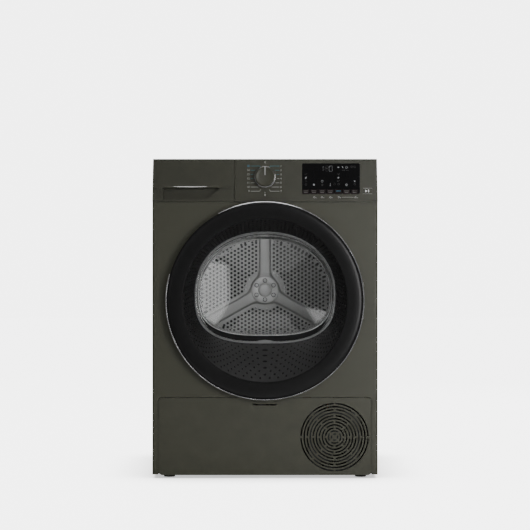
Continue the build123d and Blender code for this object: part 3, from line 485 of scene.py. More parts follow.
def dimple_tile(middle, share, turn, height, door):
    """Points of one bit of the funnel with a dimple in its middle: its outline, three rings and the pit."""
    edge = [(0.5, 0.0), (0.5, 0.5), (0.25, 0.5), (0.0, 0.5), (-0.25, 0.5), (-0.5, 0.5)]
    edge += [(-u, -v) for u, v in edge]
    slant = (funnel_place(middle, 1.0, door) - funnel_place(middle, 0.0, door)).length
    reach_u = door.dimple_radius / (turn * door.inner_radius)
    reach_v = min(0.42, door.dimple_radius / (height * slant))
    points = [funnel_place(middle + u * turn, share + v * height, door) for u, v in edge]
    for scale, sink in ((1.0, 0.0), (0.86, 0.6), (0.55, 0.95)):
        for angle in turns(TILE_SIDES):
            u, v = scale * reach_u * cos(angle), scale * reach_v * sin(angle)
            points.append(funnel_place(middle + u * turn, share + v * height, door, sink * door.dimple_depth))
    return points + [funnel_place(middle, share, door, door.dimple_depth)]


def rounded(place):
    """A place to a hundredth of a millimetre, to know it again after welding."""
    return tuple(round(value, 5) for value in place)


def funnel_mesh(door):
    """Dimpled funnel between the ring and the window, with plain edges and a plain back; its pit attribute carries
    painted shade for the dimples and the front edge.
    """
    wall, rows, first, height, shade_line_width = 0.003, 12, 0.066, 0.0773, 0.0004
    count = round(2 * pi * door.inner_radius / door.dimple_pitch)
    turn = 2 * pi / count
    points, faces, pit_shade = [], [], {}
    pit = 4 * TILE_SIDES
    inmost = range(pit - TILE_SIDES, pit)
    tile_faces = grid_faces(4, TILE_SIDES) + [(a, b, pit) for a, b in zip(inmost, (*inmost[1:], inmost[0]))]

    def add(places, new_faces):
        start = len(points)
        points.extend(places)
        faces.extend(tuple(start + corner for corner in face) for face in new_faces)

    for row in range(rows):
        for column in range(count):
            middle = (column + 0.5 * (row % 2)) * turn
            tile = dimple_tile(middle, first + height * (row + 0.5), turn, height, door)
            add(tile, tile_faces)
            # Painted shade weights: 0.85 on each dimple's inner rings, 1 at its bottom.
            pit_shade.update({rounded(place): 0.85 for place in tile[2 * TILE_SIDES:pit]})
            pit_shade[rounded(tile[pit])] = 1.0
    columns, last = 4 * count, first + height * rows
    plain = [[funnel_place(step * turn / 4, share, door) for step in range(columns)]
             for share in (0.0, first / 2, first, last, 1.0)]
    back = [[place + Vector((cos(step * turn / 4), 0, sin(step * turn / 4))) * wall for step, place in enumerate(ring)]
            for ring in (plain[4], plain[0])]
    for rings in (plain[:3], plain[3:] + back + plain[:1]):
        add([place for ring in rings for place in ring], grid_faces(len(rings), columns))
    mesh = mesh_of("door_funnel_dimpled", points, faces)
    # Painted shade line on the funnel's first ring, where it meets the ring's lip.
    edge = min(vertex.co.y for vertex in mesh.vertices) + shade_line_width
    pit_shade_layer = mesh.attributes.new("pit", "FLOAT", "POINT")
    for place, vertex in zip(pit_shade_layer.data, mesh.vertices):
        place.value = 1.0 if vertex.co.y < edge else pit_shade.get(rounded(vertex.co), 0.0)
    return mesh


def bowl_mesh(segments=192):
    """Glass bowl with a flat rim, sloping walls, a rounded heel and a domed back."""
    front, deep, draw_in = GLASS_LOW.y, GLASS_HIGH.y - GLASS_LOW.y, 0.009
    walls = [(t, 0.0, 1.0, t * (deep - BOWL_DOME - BOWL_HEEL)) for t in (0.12, 0.35, 0.6, 0.85, 1.0)]
    heel = [(1.0, -draw_in * (1 - cos(t)), 1.0, deep - BOWL_DOME - BOWL_HEEL * (1 - sin(t)))
            for t in np.linspace(0.2, pi / 2, 9)]
    back = [(1.0, -draw_in, share, deep - BOWL_DOME * share ** 2)
            for share in (0.95, 0.9, 0.8, 0.7, 0.6, 0.5, 0.4, 0.3, 0.2, 0.1, 0.0)]
    rim = [(0.0, 0.0, 1.0, 0.0), (0.0, 0.003, 1.0, 0.0), (0.0, 0.003, 1.0, 0.003), (0.05, 0.0, 1.0, 0.0036)]
    inside = [(blend, grow - GLASS_WALL, share, depth - GLASS_WALL)
              for blend, grow, share, depth in reversed(walls[1:] + heel + back)]
    rings = []
    for blend, grow, share, depth in rim + walls + heel + back + inside + [(0.0, -GLASS_WALL, 1.0, 0.0)]:
        places = [window_point(angle, blend, grow) for angle in turns(segments)]
        rings.append([(x * share, front + depth, WINDOW_Z + (z - WINDOW_Z) * share) for x, z in places])
    return lofted("door_glass_bowl", rings, loop=True)


def glass_rim_mesh(segments=256):
    """Ground front edge of the glass, with a small tab in the middle of its lower side."""
    width, tab_height, tab_half = 0.0042, 0.0055, 0.029
    profile = ((0.0, 0.0015), (0.0, -0.0005), (0.25, -0.0013), (0.7, -0.0012), (0.95, -0.0004), (1.0, 0.0015))
    rings = []
    for angle in turns(segments):
        x, z = window_point(angle)
        tab = tab_height * max(0.0, 1 - (x / tab_half) ** 2) if z < WINDOW_Z else 0.0
        ring = []
        for share, y in profile:
            x, z = window_point(angle, 0.0, -share * (width + tab))
            ring.append((x, GLASS_LOW.y + y, z))
        rings.append(ring)
    return lofted("door_glass_rim", rings, loop=True)


def glass_band_mesh(segments=80):
    """Dark crescent on the inner side of the glass bowl's lower wall: painted shade where that wall looks dark."""
    deep = GLASS_HIGH.y - GLASS_LOW.y - BOWL_DOME - BOWL_HEEL
    near, far, shares = -0.0043, -0.0050, (0, 0.33, 0.67, 1)
    rings = []
    for step in range(segments + 1):
        angle = radians(205 + 130 * step / segments)
        spread = 0.85 * smoothstep(min(step, segments - step) / segments, -0.02, 0.2)
        ring = []
        for grow, share in [(near, share) for share in shares] + [(far, share) for share in reversed(shares)]:
            blend = 1.0 - share * spread
            x, z = window_point(angle, blend, grow)
            ring.append((x, GLASS_LOW.y + blend * deep - GLASS_WALL, z))
        rings.append(ring)
    return lofted("door_glass_band", rings)


def glass_edge_mesh(segments=200, sides=6):
    """Painted highlight: thin bright line where the wall of the glass bowl bends into its back, from the upper left
    round to the right.
    """
    middle, thick, inset = GLASS_HIGH.y - BOWL_DOME - BOWL_HEEL - GLASS_WALL, 0.0010, 0.0063
    rings = []
    for step in range(segments + 1):
        angle = radians(118 + 260 * step / segments)
        radius = thick * (0.15 + 0.85 * smoothstep(min(step, segments - step) / segments, 0.0, 0.12))
        ring = []
        for turn in turns(sides):
            x, z = window_point(angle, 1.0, radius * cos(turn) - inset)
            ring.append((x, middle + radius * sin(turn), z))
        rings.append(ring)
    return lofted("door_glass_edge", rings)


class DRYER_OT_door(bpy.types.Operator):
    """Round door: glossy ring, bright trim, dimpled funnel and glass bowl"""
    bl_idname = "dryer.door"
    bl_label = "Door"

    def execute(self, context):
        door = context.scene.dryer_door
        for mesh, finish, slot, *replaced in (
                (ring_mesh(door), gloss_black("door black", door.black, 0.24, 0.17), "black_gloss", "door_ring"),
                (trim_mesh(door), metal("door chrome", (0.82, 0.82, 0.83), 0.18), "chrome", "chrome_trim"),
                (funnel_mesh(door), dimpled_black("funnel black"), "black_matte", "door_funnel"),
                (bowl_mesh(), clear_glass("door glass"), "glass", "door_glass"),
                (glass_rim_mesh(), moulded_plastic("ground glass", (0.20, 0.205, 0.205), 0.3), "glass"),
                # Painted highlight: bright line along the bowl's heel.
                (glass_edge_mesh(), moulded_plastic("polished edge", (0.7, 0.71, 0.71), 0.15), "glass"),
                # Painted shade: dark crescent on the bowl's lower wall.
                (glass_band_mesh(), gloss_black("band enamel", (0.016, 0.016, 0.016), 0.75, 0.1), "black_gloss")):
            piece = place_piece(mesh.name, mesh, finish, "door", replaced)
            piece.visible_shadow = "door_glass" not in replaced
        return {"FINISHED"}


def scatter_tree():
    """Node tree that sets a copy of one part on every point and gives the whole one finish."""
    tree = bpy.data.node_groups.new("set on points", "GeometryNodeTree")
    for name, way, kind in (("Geometry", "INPUT", "Geometry"), ("Part", "INPUT", "Object"),
                            ("Finish", "INPUT", "Material"), ("Geometry", "OUTPUT", "Geometry")):
        tree.interface.new_socket(name, in_out=way, socket_type="NodeSocket" + kind)
    start, end, part, points, copies, real, finish = (tree.nodes.new(kind) for kind in (
        "NodeGroupInput", "NodeGroupOutput", "GeometryNodeObjectInfo", "GeometryNodeMeshToPoints",
        "GeometryNodeInstanceOnPoints", "GeometryNodeRealizeInstances", "GeometryNodeSetMaterial"))
    for source, output, target, socket in (
            (start, "Geometry", points, "Mesh"), (points, "Points", copies, "Points"),
            (start, "Part", part, "Object"), (part, "Geometry", copies, "Instance"),
            (copies, "Instances", real, "Geometry"), (real, "Geometry", finish, "Geometry"),
            (start, "Finish", finish, "Material"), (finish, "Geometry", end, "Geometry")):
        tree.links.new(source.outputs[output], target.inputs[socket])
    return tree


def scattered(name, places, part_mesh, finish):
    """Plain mesh with a copy of a part at each place, made by the node tree."""
    tree = bpy.data.node_groups.get("set on points") or scatter_tree()
    part = bpy.data.objects.new(name + "_part", part_mesh)
    seeds = bpy.data.meshes.new(name + "_seeds")
    seeds.from_pydata([tuple(place) for place in places], [], [])
    holder = bpy.data.objects.new(name + "_holder", seeds)
    bpy.context.scene.collection.objects.link(holder)
    nodes = holder.modifiers.new("set on points", "NODES")
    nodes.node_group = tree
    values = {"Part": part, "Finish": finish}
    for item in tree.interface.items_tree:
        if item.in_out == "INPUT" and item.name in values:
            nodes[item.identifier] = values[item.name]
    bpy.context.view_layer.update()
    ready = holder.evaluated_get(bpy.context.evaluated_depsgraph_get())
    mesh = bpy.data.meshes.new_from_object(ready)
    mesh.name = name
    for extra in (holder, part):
        bpy.data.objects.remove(extra)
    return mesh


def joined(name, meshes):
    """One mesh from several."""
    work = bmesh.new()
    for mesh in meshes:
        work.from_mesh(mesh)
    return settled(work, bpy.data.meshes.new(name))


def tile_mesh(pitch, hole, depth):
    """Hexagonal bit of drum sheet facing -Y, with one air hole whose edge is rolled in, or plain if hole is 0."""
    def ring(radii, y):
        return [(radii[step % 2] * cos(angle), y, radii[step % 2] * sin(angle))
                for step, angle in enumerate(turns(TILE_SIDES))]

    outline, rolled = (pitch / 2 / cos(pi / 6), pitch / 2), 0.0008
    rings = [ring(outline, 0.0), ring(outline, depth)]
    if hole:
        rings[1:1] = [ring((hole + rolled,) * 2, 0.0), ring((hole,) * 2, depth * 0.6)]
        faces = grid_faces(len(rings), TILE_SIDES)
    else:
        faces = [tuple(range(TILE_SIDES)), tuple(reversed(range(TILE_SIDES, 2 * TILE_SIDES)))]
    mesh = bpy.data.meshes.new("drum_tile")
    mesh.from_pydata([point for one in rings for point in one], [], faces)
    return mesh


def sheet_mesh(name, tiles, plane, depth):
    """Sheet welded from tiles, with a wall round its open edges and its normals turned outwards."""
    def spot(vertex):
        return round(vertex.co.x, 4), round(vertex.co.z, 4)

    work = bmesh.new()
    for mesh in tiles:
        work.from_mesh(mesh)
    bmesh.ops.remove_doubles(work, verts=work.verts, dist=2e-5)
    middle = plane + depth / 2
    rim = [edge for edge in work.edges if edge.is_boundary]
    rear = {spot(vertex): vertex for edge in rim for vertex in edge.verts if vertex.co.y > middle}
    for edge in rim:
        if all(vertex.co.y < middle for vertex in edge.verts):
            a, b = edge.verts
            behind = [rear.get(spot(vertex)) for vertex in (b, a)]
            if None not in behind:
                work.faces.new((a, b, *behind))
    bmesh.ops.recalc_face_normals(work, faces=work.faces)
    return settled(work, bpy.data.meshes.new(name))


def star_outline(width, hub, reach):
    """Outline of the three-spoke star round the drum's axis, with hollow curves where spokes meet the hub."""
    outline = []
    for spoke in SPOKES:
        along = [reach * (1 - t) + width * 0.577 * t for t in np.linspace(0.0, 1.0, 26) ** 0.75]
        for side, steps in ((-1, along[-2::-1]), (1, along)):
            for distance in steps:
                turn = radians(spoke) + side * atan2(width, distance)
                radius = (hypot(distance, width) ** 5 + hub ** 5) ** 0.2
                outline.append((radius * cos(turn), radius * sin(turn)))
    return outline


def star_mesh(drum, plane):
    """Pressed star with soft shoulders, a raised middle on each spoke and a closed back."""
    half, reach, hub = drum.spoke_width / 2, 0.264, 0.0425
    steps = ((0.003, 0.0012), (0.0014, -0.0004), (-0.0002, -0.0030), (-0.0018, -0.0054), (-0.0034, -0.0064),
             (-0.0058, -0.0067))
    rings = [[(x, plane + drop, DRUM_Z + z) for x, z in star_outline(half + grow, hub + grow, reach + grow)]
             for grow, drop in steps]
    count = len(rings[0])
    points = [point for ring in rings for point in ring]
    faces = grid_faces(len(rings), count)
    for ring, drop in ((0, steps[0][1]), (len(rings) - 1, steps[-1][1])):
        points.append((0.0, plane + drop, DRUM_Z))
        faces += [(ring * count + step, ring * count + (step + 1) % count, len(points) - 1) for step in range(count)]
    return mesh_of("drum_star", points, faces)


def hole_places(drum, plane, reach):
    """Centres of the open and the plain sheet tiles over the drum's back."""
    pitch, half = drum.hole_pitch, drum.spoke_width / 2
    spoke_seat, spoke_lap, hub_seat, hub_lap, border = 0.0058, 0.004, 0.056, 0.040, 0.012
    across, rows = pitch * cos(pi / 6), int(reach / pitch) + 2
    open_tiles, plain_tiles = [], []
    for column in range(-rows - 4, rows + 5):
        for row in range(-rows - 1, rows + 2):
            x, z = (column + 0.5) * across, (row + 0.5 * (column % 2)) * pitch + 0.002
            radius = hypot(x, z)
            if radius > reach:
                continue
            gap = min((abs(x * sin(t) - z * cos(t)) for t in map(radians, SPOKES) if x * cos(t) + z * sin(t) > 0),
                      default=1.0)
            if gap > half + spoke_seat and hub_seat < radius < reach - border:
                open_tiles.append((x, plane, DRUM_Z + z))
            elif gap > half - spoke_lap and radius > hub_lap:
                plain_tiles.append((x, plane, DRUM_Z + z))
    return open_tiles, plain_tiles


def screw_head(radius, height, facing=-1):
    """Pan-head screw with a cross recess, its head towards -Y, or +Y if facing is 1."""
    angles = turns(16)
    dome = ((1.0, 0.0), (1.0, 0.35), (0.93, 0.7), (0.75, 0.92), (0.45, 1.0))
    levels = [([radius * share] * len(angles), rise) for share, rise in dome]
    cross = [radius * (0.40 if step % 4 == 0 else 0.17) for step in range(len(angles))]
    levels += [(cross, 0.96), ([0.8 * reach for reach in cross], 0.35)]
    return lofted("screw_head", [[(reach * cos(angle), facing * height * rise, reach * sin(angle))
                                  for reach, angle in zip(reaches, angles)] for reaches, rise in levels])


def hub_mesh(drum, front):
    """Hub plate with a rolled edge and the domed cap in its middle."""
    radius, cap = drum.hub_radius, 0.0198
    profile = [(0.0, front + 0.004), (radius, front + 0.004), (radius, front + 0.0016),
               (radius - 0.0006, front + 0.0006), (radius - 0.002, front), (cap + 0.0022, front),
               (cap + 0.0009, front + 0.0005), (cap, front)]
    profile += [(cap * cos(t), front - 0.0005 - 0.0065 * sin(t)) for t in np.linspace(0.1, pi / 2, 10)]
    return spun("drum_hub_plate", profile, DRUM_Z, 96)


def shell_mesh():
    """Drum wall with its coned lip and two belt ribs."""
    outer, lip, skin = 0.278, 0.264, 0.0012
    front, back = DRUM_LOW.y, DRUM_HIGH.y
    rib = ((0.007, 0.0), (0.0035, 0.0009), (0.0015, 0.0016))
    outside = [(lip - 0.0015, front), (lip, front + 0.0008), (outer - 0.002, front + 0.012), (outer, front + 0.016)]
    for middle in (-0.092, 0.108):
        outside += [(outer + rise, middle - along) for along, rise in rib]
        outside += [(outer + rise, middle + along) for along, rise in reversed(rib)]
    outside += [(outer, back - 0.001), (outer - 0.0004, back)]
    inside = [(radius - skin, y) for radius, y in reversed(outside)]
    return spun("drum_wall", outside + inside, DRUM_Z, 224)


def lifter_mesh():
    """Three round-topped lifters with a ramped nose and tail."""
    low, high = corners_of(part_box("drum_lifters"))
    base, half, taper, tall = 0.2755, 0.0395, 0.0005, 0.0595
    stations = [(0.0, 0.10), (0.012, 0.34), (0.03, 0.66), (0.05, 0.90), (0.075, 0.985), (0.2, 1.0), (0.8, 1.0),
                (0.96, 0.97), (0.985, 0.85), (1.0, 0.55)]
    meshes = []
    for turn in map(radians, SPOKES):
        out, sideways = Vector((cos(turn), sin(turn))), Vector((-sin(turn), cos(turn)))
        rings = []
        for share, rise in stations:
            ring = []
            for side in np.linspace(-1.0, 1.0, 25):
                across = side * (half - taper * share)
                height = tall * rise * (1 - abs(side) ** 2.6) ** 0.85
                spot = out * ((base ** 2 - across ** 2) ** 0.5 - height) + sideways * across
                ring.append((spot.x, low.y + (high.y - low.y) * share, DRUM_Z + spot.y))
            rings.append(ring)
        meshes.append(lofted("lifter", rings))
    return joined("drum_lifters_round", meshes)


class DRYER_OT_drum(bpy.types.Operator):
    """Drum: wall, perforated back with its pressed star, hub with cap and screws, and lifters"""
    bl_idname = "dryer.drum"
    bl_label = "Drum"

    def execute(self, context):
        drum = context.scene.dryer_drum
        plane, reach, depth = DRUM_HIGH.y - 0.006, 0.2755, 0.0018
        steel = metal("drum steel", drum.steel, 0.48, (1, 1, 1), 0.03, 0.6)
        rolled = metal("drum wall steel", drum.steel, 0.42, (0.02, 1, 0.02), 0.04, 0.8)
        open_tiles, plain_tiles = hole_places(drum, plane, reach)
        tiles = [scattered("drum_sheet_open", open_tiles, tile_mesh(drum.hole_pitch, drum.hole_radius, depth), steel),
                 scattered("drum_sheet_plain", plain_tiles, tile_mesh(drum.hole_pitch, 0.0, depth), steel)]
        place_piece("drum_back_sheet", sheet_mesh("drum_back_sheet", tiles, plane, depth), steel, "drum",
                    ["drum_back"])
        place_piece("drum_star", star_mesh(drum, plane), steel, "drum")
        hub_front, screw_circle = plane - 0.0115, 0.0287
        place_piece("drum_hub_plate", hub_mesh(drum, hub_front),
                    metal("hub steel", (0.52, 0.52, 0.515), 0.46, None, 0.04, 0.4), "drum", ["drum_hub"])
        around = [turned([(screw_circle, hub_front)], t, DRUM_Z)[0] for t in np.radians(range(90, 450, 60))]
        washer = spun("washer", [(0.003, 0.0), (0.0064, 0.0), (0.0064, -0.0004), (0.0058, -0.0008), (0.003, -0.0008)],
                      0.0, 16)
        seats = scattered("drum_hub_washers", around, washer, soft_black("washer black", (0.015, 0.015, 0.015), 0.5))
        place_piece("drum_hub_washers", seats, None, "drum")
        screws = scattered("drum_hub_screws", around, screw_head(0.0049, 0.0030),
                           metal("screw steel", (0.55, 0.55, 0.55), 0.34, None, 0.04, 0.6))
        place_piece("drum_hub_screws", screws, None, "drum", ["hub_screws"])
        place_piece("drum_wall", shell_mesh(), rolled, "drum", ["drum_shell"])
        place_piece("drum_lifters_round", lifter_mesh(), moulded_plastic("lifter grey", (0.30, 0.31, 0.31), 0.45),
                    "drum", ["drum_lifters"])
        return {"FINISHED"}


def prism(outline, y):
    """Flat mark with that outline of x and z, standing a little proud of a surface at depth y."""
    return lofted("mark", [[(x, depth, z) for x, z in outline] for depth in (y - MARK_PROUD, y + MARK_ROOT)])


def bar(x0, z0, x1, z1, width):
    """Outline of a straight stroke between two points."""
    along = Vector((x1 - x0, z1 - z0)).normalized() * (width / 2)
    side = Vector((-along.y, along.x))
    return [(x0 - side.x, z0 - side.y), (x1 - side.x, z1 - side.y), (x1 + side.x, z1 + side.y),
            (x0 + side.x, z0 + side.y)]


def polygon(x, z, radius, sides, first=0.0):
    """Outline of a regular polygon, or of a disc where it has many sides."""
    return [(x + radius * cos(radians(first) + turn), z + radius * sin(radians(first) + turn))
            for turn in turns(sides)]


def hoop(x, z, radius, width, sides):
    """Outlines of the strokes of a ring or of an open polygon."""
    corners = polygon(x, z, radius, sides)
    return [bar(*corners[step], *corners[(step + 1) % sides], width) for step in range(sides)]


def numeral(text, x, z, height, y, align="CENTER"):
    """Printed number as a thin mesh."""
    curve = bpy.data.curves.new("number", "FONT")
    curve.body, curve.size, curve.align_x, curve.align_y = text, height / 0.7, align, "CENTER"
    curve.extrude, curve.resolution_u = MARK_ROOT, 3
    holder = bpy.data.objects.new("number", curve)
    bpy.context.scene.collection.objects.link(holder)
    bpy.context.view_layer.update()
    mesh = bpy.data.meshes.new_from_object(holder.evaluated_get(bpy.context.evaluated_depsgraph_get()))
    bpy.data.objects.remove(holder)
    mesh.materials.clear()
    mesh.transform(Matrix.Translation((x, y, z)) @ Matrix.Rotation(pi / 2, 4, "X"))
    return mesh


def digit_strokes(digit, x, z, width, height, stroke):
    """Outlines of a seven-segment digit, lower left corner at x and z."""
    low, middle, top = z, z + height / 2, z + height
    gap = stroke * 0.7
    segments = {"a": (x + gap, top, x + width - gap, top), "g": (x + gap, middle, x + width - gap, middle),
                "d": (x + gap, low, x + width - gap, low), "f": (x, middle + gap, x, top - gap),
                "b": (x + width, middle + gap, x + width, top - gap), "e": (x, low + gap, x, middle - gap),
                "c": (x + width, low + gap, x + width, middle - gap)}
    return [bar(*segments[name], stroke) for name in {"0": "abcdef", "1": "bc", "8": "abcdefg"}[digit]]


def marks(name, outlines, finish, body, y, extra=()):
    """Piece made of flat marks and numbers that share one finish."""
    meshes = [prism(outline, y) for outline in outlines] + list(extra)
    return place_piece(name, joined(name, meshes), finish, body)


def placed(outline, x, z, wide, tall):
    """An icon's outline at its place and scale."""
    return [(x + wide * u, z + tall * v) for u, v in outline]


class DRYER_OT_knob(bpy.types.Operator):
    """Programme knob: dished cap, bright foot ring and pointer"""
    bl_idname = "dryer.knob"
    bl_label = "Knob"

    def execute(self, context):
        cabinet = context.scene.dryer_cabinet
        face, foot = FASCIA_Y - 0.025, FASCIA_Y - 0.001
        plastic = moulded_plastic("knob plastic", tuple(1.1 * channel for channel in cabinet.plastic), 0.36)
        cap = [(0.0, foot - 0.0005), (0.0240, foot - 0.0005), (0.0265, foot - 0.004), (0.0264, face + 0.0050),
               (0.0260, face + 0.0026), (0.0251, face + 0.0010), (0.0238, face + 0.0003), (0.0224, face + 0.0002),
               (0.0212, face + 0.0007), (0.0150, face + 0.0012), (0.0, face + 0.0014)]
        place_piece("knob_cap_dished", spun("knob_cap_dished", cap, KNOB_Z, 160), plastic, "knob",
                    ["knob_cap"])
        ring = [(0.0240, foot), (0.0281, foot), (0.0285, foot - 0.0006), (0.0285, foot - 0.0016),
                (0.0281, foot - 0.0026), (0.0275, foot - 0.0034), (0.0266, foot - 0.0038), (0.0250, foot - 0.0038)]
        place_piece("knob_ring_bright", spun("knob_ring_bright", ring, KNOB_Z, 160),
                    metal("knob chrome", (0.50, 0.50, 0.50), 0.22), "knob", ["knob_ring"])
        half, low, high, bevel = 0.0021, 0.0038, 0.0268, 0.0004
        layers = [[(x, y, KNOB_Z + z) for x, z in ((inset - half, low + inset), (half - inset, low + inset),
                                                   (half - inset, high - inset), (inset - half, high - inset))]
                  for y, inset in ((face + 0.0035, 0.0), (face + 0.0004, 0.0), (face, bevel))]
        place_piece("knob_pointer_bar", lofted("knob_pointer_bar", layers),
                    moulded_plastic("pointer grey", (0.34, 0.34, 0.33), 0.35), "knob",
                    ["knob_pointer"])
        return {"FINISHED"}


class DRYER_OT_print(bpy.types.Operator):
    """Printed dial numbers, leader lines and plain symbols on the control panel"""
    bl_idname = "dryer.print"
    bl_label = "Panel print"

    def execute(self, context):
        print_set = context.scene.dryer_print
        ink, accent = lit_mark("panel ink", print_set.ink, 0.0), lit_mark("panel accent ink", print_set.accent, 0.0)
        grey_lines, teal_lines, numbers, first_number = [], [], [], []
        top, pitch, count = 0.0289, 0.0111, 7
        ring, shortest, line_end, label_x, stroke = 0.0318, 0.0145, 0.0380, 0.0405, 0.0009
        for row in range(count):
            rise = top - pitch * row
            reach = max(shortest, (max(0.0, ring ** 2 - rise ** 2)) ** 0.5)
            for side in (-1, 1):
                lines = teal_lines if row < (4 if side < 0 else 3) else grey_lines
                lines.append(bar(side * line_end, KNOB_Z + rise, side * reach, KNOB_Z + rise, stroke))
                if row in (0, count - 1):
                    bend = 0.0035 if row == 0 else -0.0045
                    lines.append(bar(side * reach, KNOB_Z + rise, side * (reach - 0.0032), KNOB_Z + rise - bend,
                                     stroke))
                label, align = (str(row + 1), "LEFT") if side > 0 else (str(2 * count + 1 - row), "RIGHT")
                mesh = numeral(label, side * label_x, KNOB_Z + rise, 0.0050, FASCIA_Y, align)
                (first_number if side < 0 and row == 0 else numbers).append(mesh)
        numbers.append(numeral("0", 0.0, KNOB_Z + 0.0385, 0.0052, FASCIA_Y))
        numbers.append(numeral("8", 0.0, KNOB_Z - 0.0475, 0.0052, FASCIA_Y))
        grey_lines.append(polygon(0.0, KNOB_Z - 0.0410, 0.0011, 12))
        low = SCREEN_LOW.z - 0.0056
        for x in (0.1317, 0.1521, 0.1742, 0.1964, 0.2407):
            grey_lines += hoop(x - 0.0016, low, 0.0021, 0.0007, 12)
            grey_lines.append(bar(x + 0.0014, low - 0.0015, x + 0.0046, low - 0.0015, stroke))
        grey_lines.append(bar(0.2035, low, 0.2340, low, 0.0006))
        for z in (KEY_HIGH.z + 0.0005, KEY_LOW.z - 0.0005):
            grey_lines.append(bar(KEY_LOW.x + 0.0005, z, KEY_HIGH.x - 0.0005, z, 0.0007))
        marks("panel_print_grey", grey_lines, ink, "cabinet", FASCIA_Y, numbers)
        marks("panel_print_teal", teal_lines, accent, "cabinet", FASCIA_Y)
        marks("panel_print_blue", [], lit_mark("panel blue ink", (0.06, 0.30, 0.46), 0.0), "cabinet",
              FASCIA_Y, first_number)
        middle, half, bar_x = (KEY_LOW.z + KEY_HIGH.z) / 2, 0.0034, 0.2738
        glyph = [[(0.2650, middle - half), (0.2708, middle), (0.2650, middle + half)],
                 bar(bar_x, middle - half, bar_x, middle + half, 0.0022)]
        marks("start_key_mark", glyph, lit_mark("key white", (0.86, 0.86, 0.85), 0.25), "start_key",
              KEY_LOW.y)
        return {"FINISHED"}


class DRYER_OT_display(bpy.types.Operator):
    """Lit digits, plain icons and touch keys on the black display pane"""
    bl_idname = "dryer.display"
    bl_label = "Display"
    columns = [0.1080 + 0.0215 * step for step in range(7)]
    top_row = 0.8226

    def lit_icons(self):
        """Outlines of the lit digits and icons."""
        columns, top_row = self.columns, self.top_row
        leaf = ((0.0030, 0.0034), (0.0010, 0.0030), (-0.0022, 0.0012), (-0.0030, -0.0016), (-0.0024, -0.0034),
                (0.0004, -0.0030), (0.0024, -0.0008))
        funnel = ((-0.0024, -0.0036), (0.0024, -0.0036), (0.0007, 0.0), (0.0007, 0.0040), (-0.0007, 0.0040),
                  (-0.0007, 0.0))
        flag = ((-0.0028, 0.0034), (0.0006, 0.0034), (0.0026, 0.0010), (0.0026, -0.0036), (0.0002, -0.0020))
        return [*digit_strokes("1", 0.1460, 0.8125, 0.0075, 0.0135, 0.0007),
                *digit_strokes("0", 0.1698, 0.8122, 0.0080, 0.0142, 0.0007),
                placed(leaf, columns[0], 0.7951, 0.85, 0.85),
                polygon(columns[1], 0.7766, 0.0027, 10),
                polygon(columns[4], 0.7951, 0.0024, 8),
                polygon(columns[6], 0.7858, 0.0032, 3, -90),
                polygon(columns[4], top_row, 0.0022, 12),
                placed(funnel, columns[3], 0.7763, 0.8, 0.85),
                *hoop(columns[5], 0.7766, 0.0030, 0.0011, 4),
                *hoop(columns[2], 0.7856, 0.0028, 0.0009, 10),
                *hoop(columns[5], top_row, 0.0028, 0.0010, 12),
                placed(flag, 0.2048, top_row, 0.8, 0.8)]

    def dim_icons(self):
        """Outlines of the digit, ticks, rings and dashes that aren't lit."""
        columns, dash_row = self.columns, 0.8146
        dim = digit_strokes("8", 0.1608, 0.8125, 0.0062, 0.0135, 0.0007)
        dim += [polygon(0.1572, z, 0.0007, 8) for z in (0.8165, 0.8225)]
        for x, z in ((columns[0], 0.8055), (columns[4], 0.8055), (columns[4], 0.7870)):
            dim += [bar(x - 0.0028, z - 0.0004, x - 0.0004, z - 0.0020, 0.0009),
                    bar(x - 0.0004, z - 0.0020, x + 0.0036, z + 0.0018, 0.0009)]
        for x, z in ((columns[0], 0.7868), (columns[0], 0.7770), (columns[2], 0.7768), (0.1841, 0.7778),
                     (columns[4], 0.7778), (columns[6], 0.7778), (0.2284, 0.8238), (columns[6], 0.8238)):
            dim += hoop(x, z, 0.0026, 0.0006, 6)
        for x in (0.2066, 0.2175):
            dim += [bar(x + start, dash_row, x + end, dash_row, 0.0010)
                    for start, end in ((-0.0032, -0.0004), (0.0006, 0.0032))]
        return dim

    def execute(self, context):
        y, lit = SCREEN_LOW.y, context.scene.dryer_print.lit
        low, high, half, blue_key = SCREEN_LOW.z + 0.0022, SCREEN_LOW.z + 0.0152, 0.0093, 4
        keys, legends, blue = [], [], []
        for step, x in enumerate(self.columns):
            keys.append([(x - half, low), (x + half, low), (x + half, high), (x - half, high)])
            for line, reach in enumerate((0.0062, 0.0050)[:1 if step == blue_key else 2]):
                z = high - 0.0042 - 0.0044 * line
                (blue if step == blue_key else legends).append(bar(x - reach, z, x + reach, z, 0.0015))
        for name, outlines, finish, slot, depth in (
                ("display_lit", self.lit_icons(), lit_mark("display lit", lit, 0.12), "white_plastic", y),
                ("display_dim", self.dim_icons(), lit_mark("display dim", (0.045, 0.045, 0.045), 0.0),
                 "white_plastic", y),
                ("display_keys", keys, gloss_black("touch key", (0.022, 0.017, 0.0165), 0.6, 0.05), "black_gloss", y),
                ("display_key_legends", legends, lit_mark("key legend", (0.13, 0.12, 0.115), 0.0), "white_plastic",
                 y - MARK_PROUD),
                ("display_key_blue", blue, lit_mark("key blue", (0.05, 0.20, 0.30), 0.0), "white_plastic",
                 y - MARK_PROUD)):
            marks(name, outlines, finish, "cabinet", depth)
        return {"FINISHED"}


def dress(names, finish):
    """Give packed nodes that keep their shape a better finish."""
    for name in names.split():
        node = frame["nodes"][name]
        node.data.materials.clear()
        node.data.materials.append(finish)


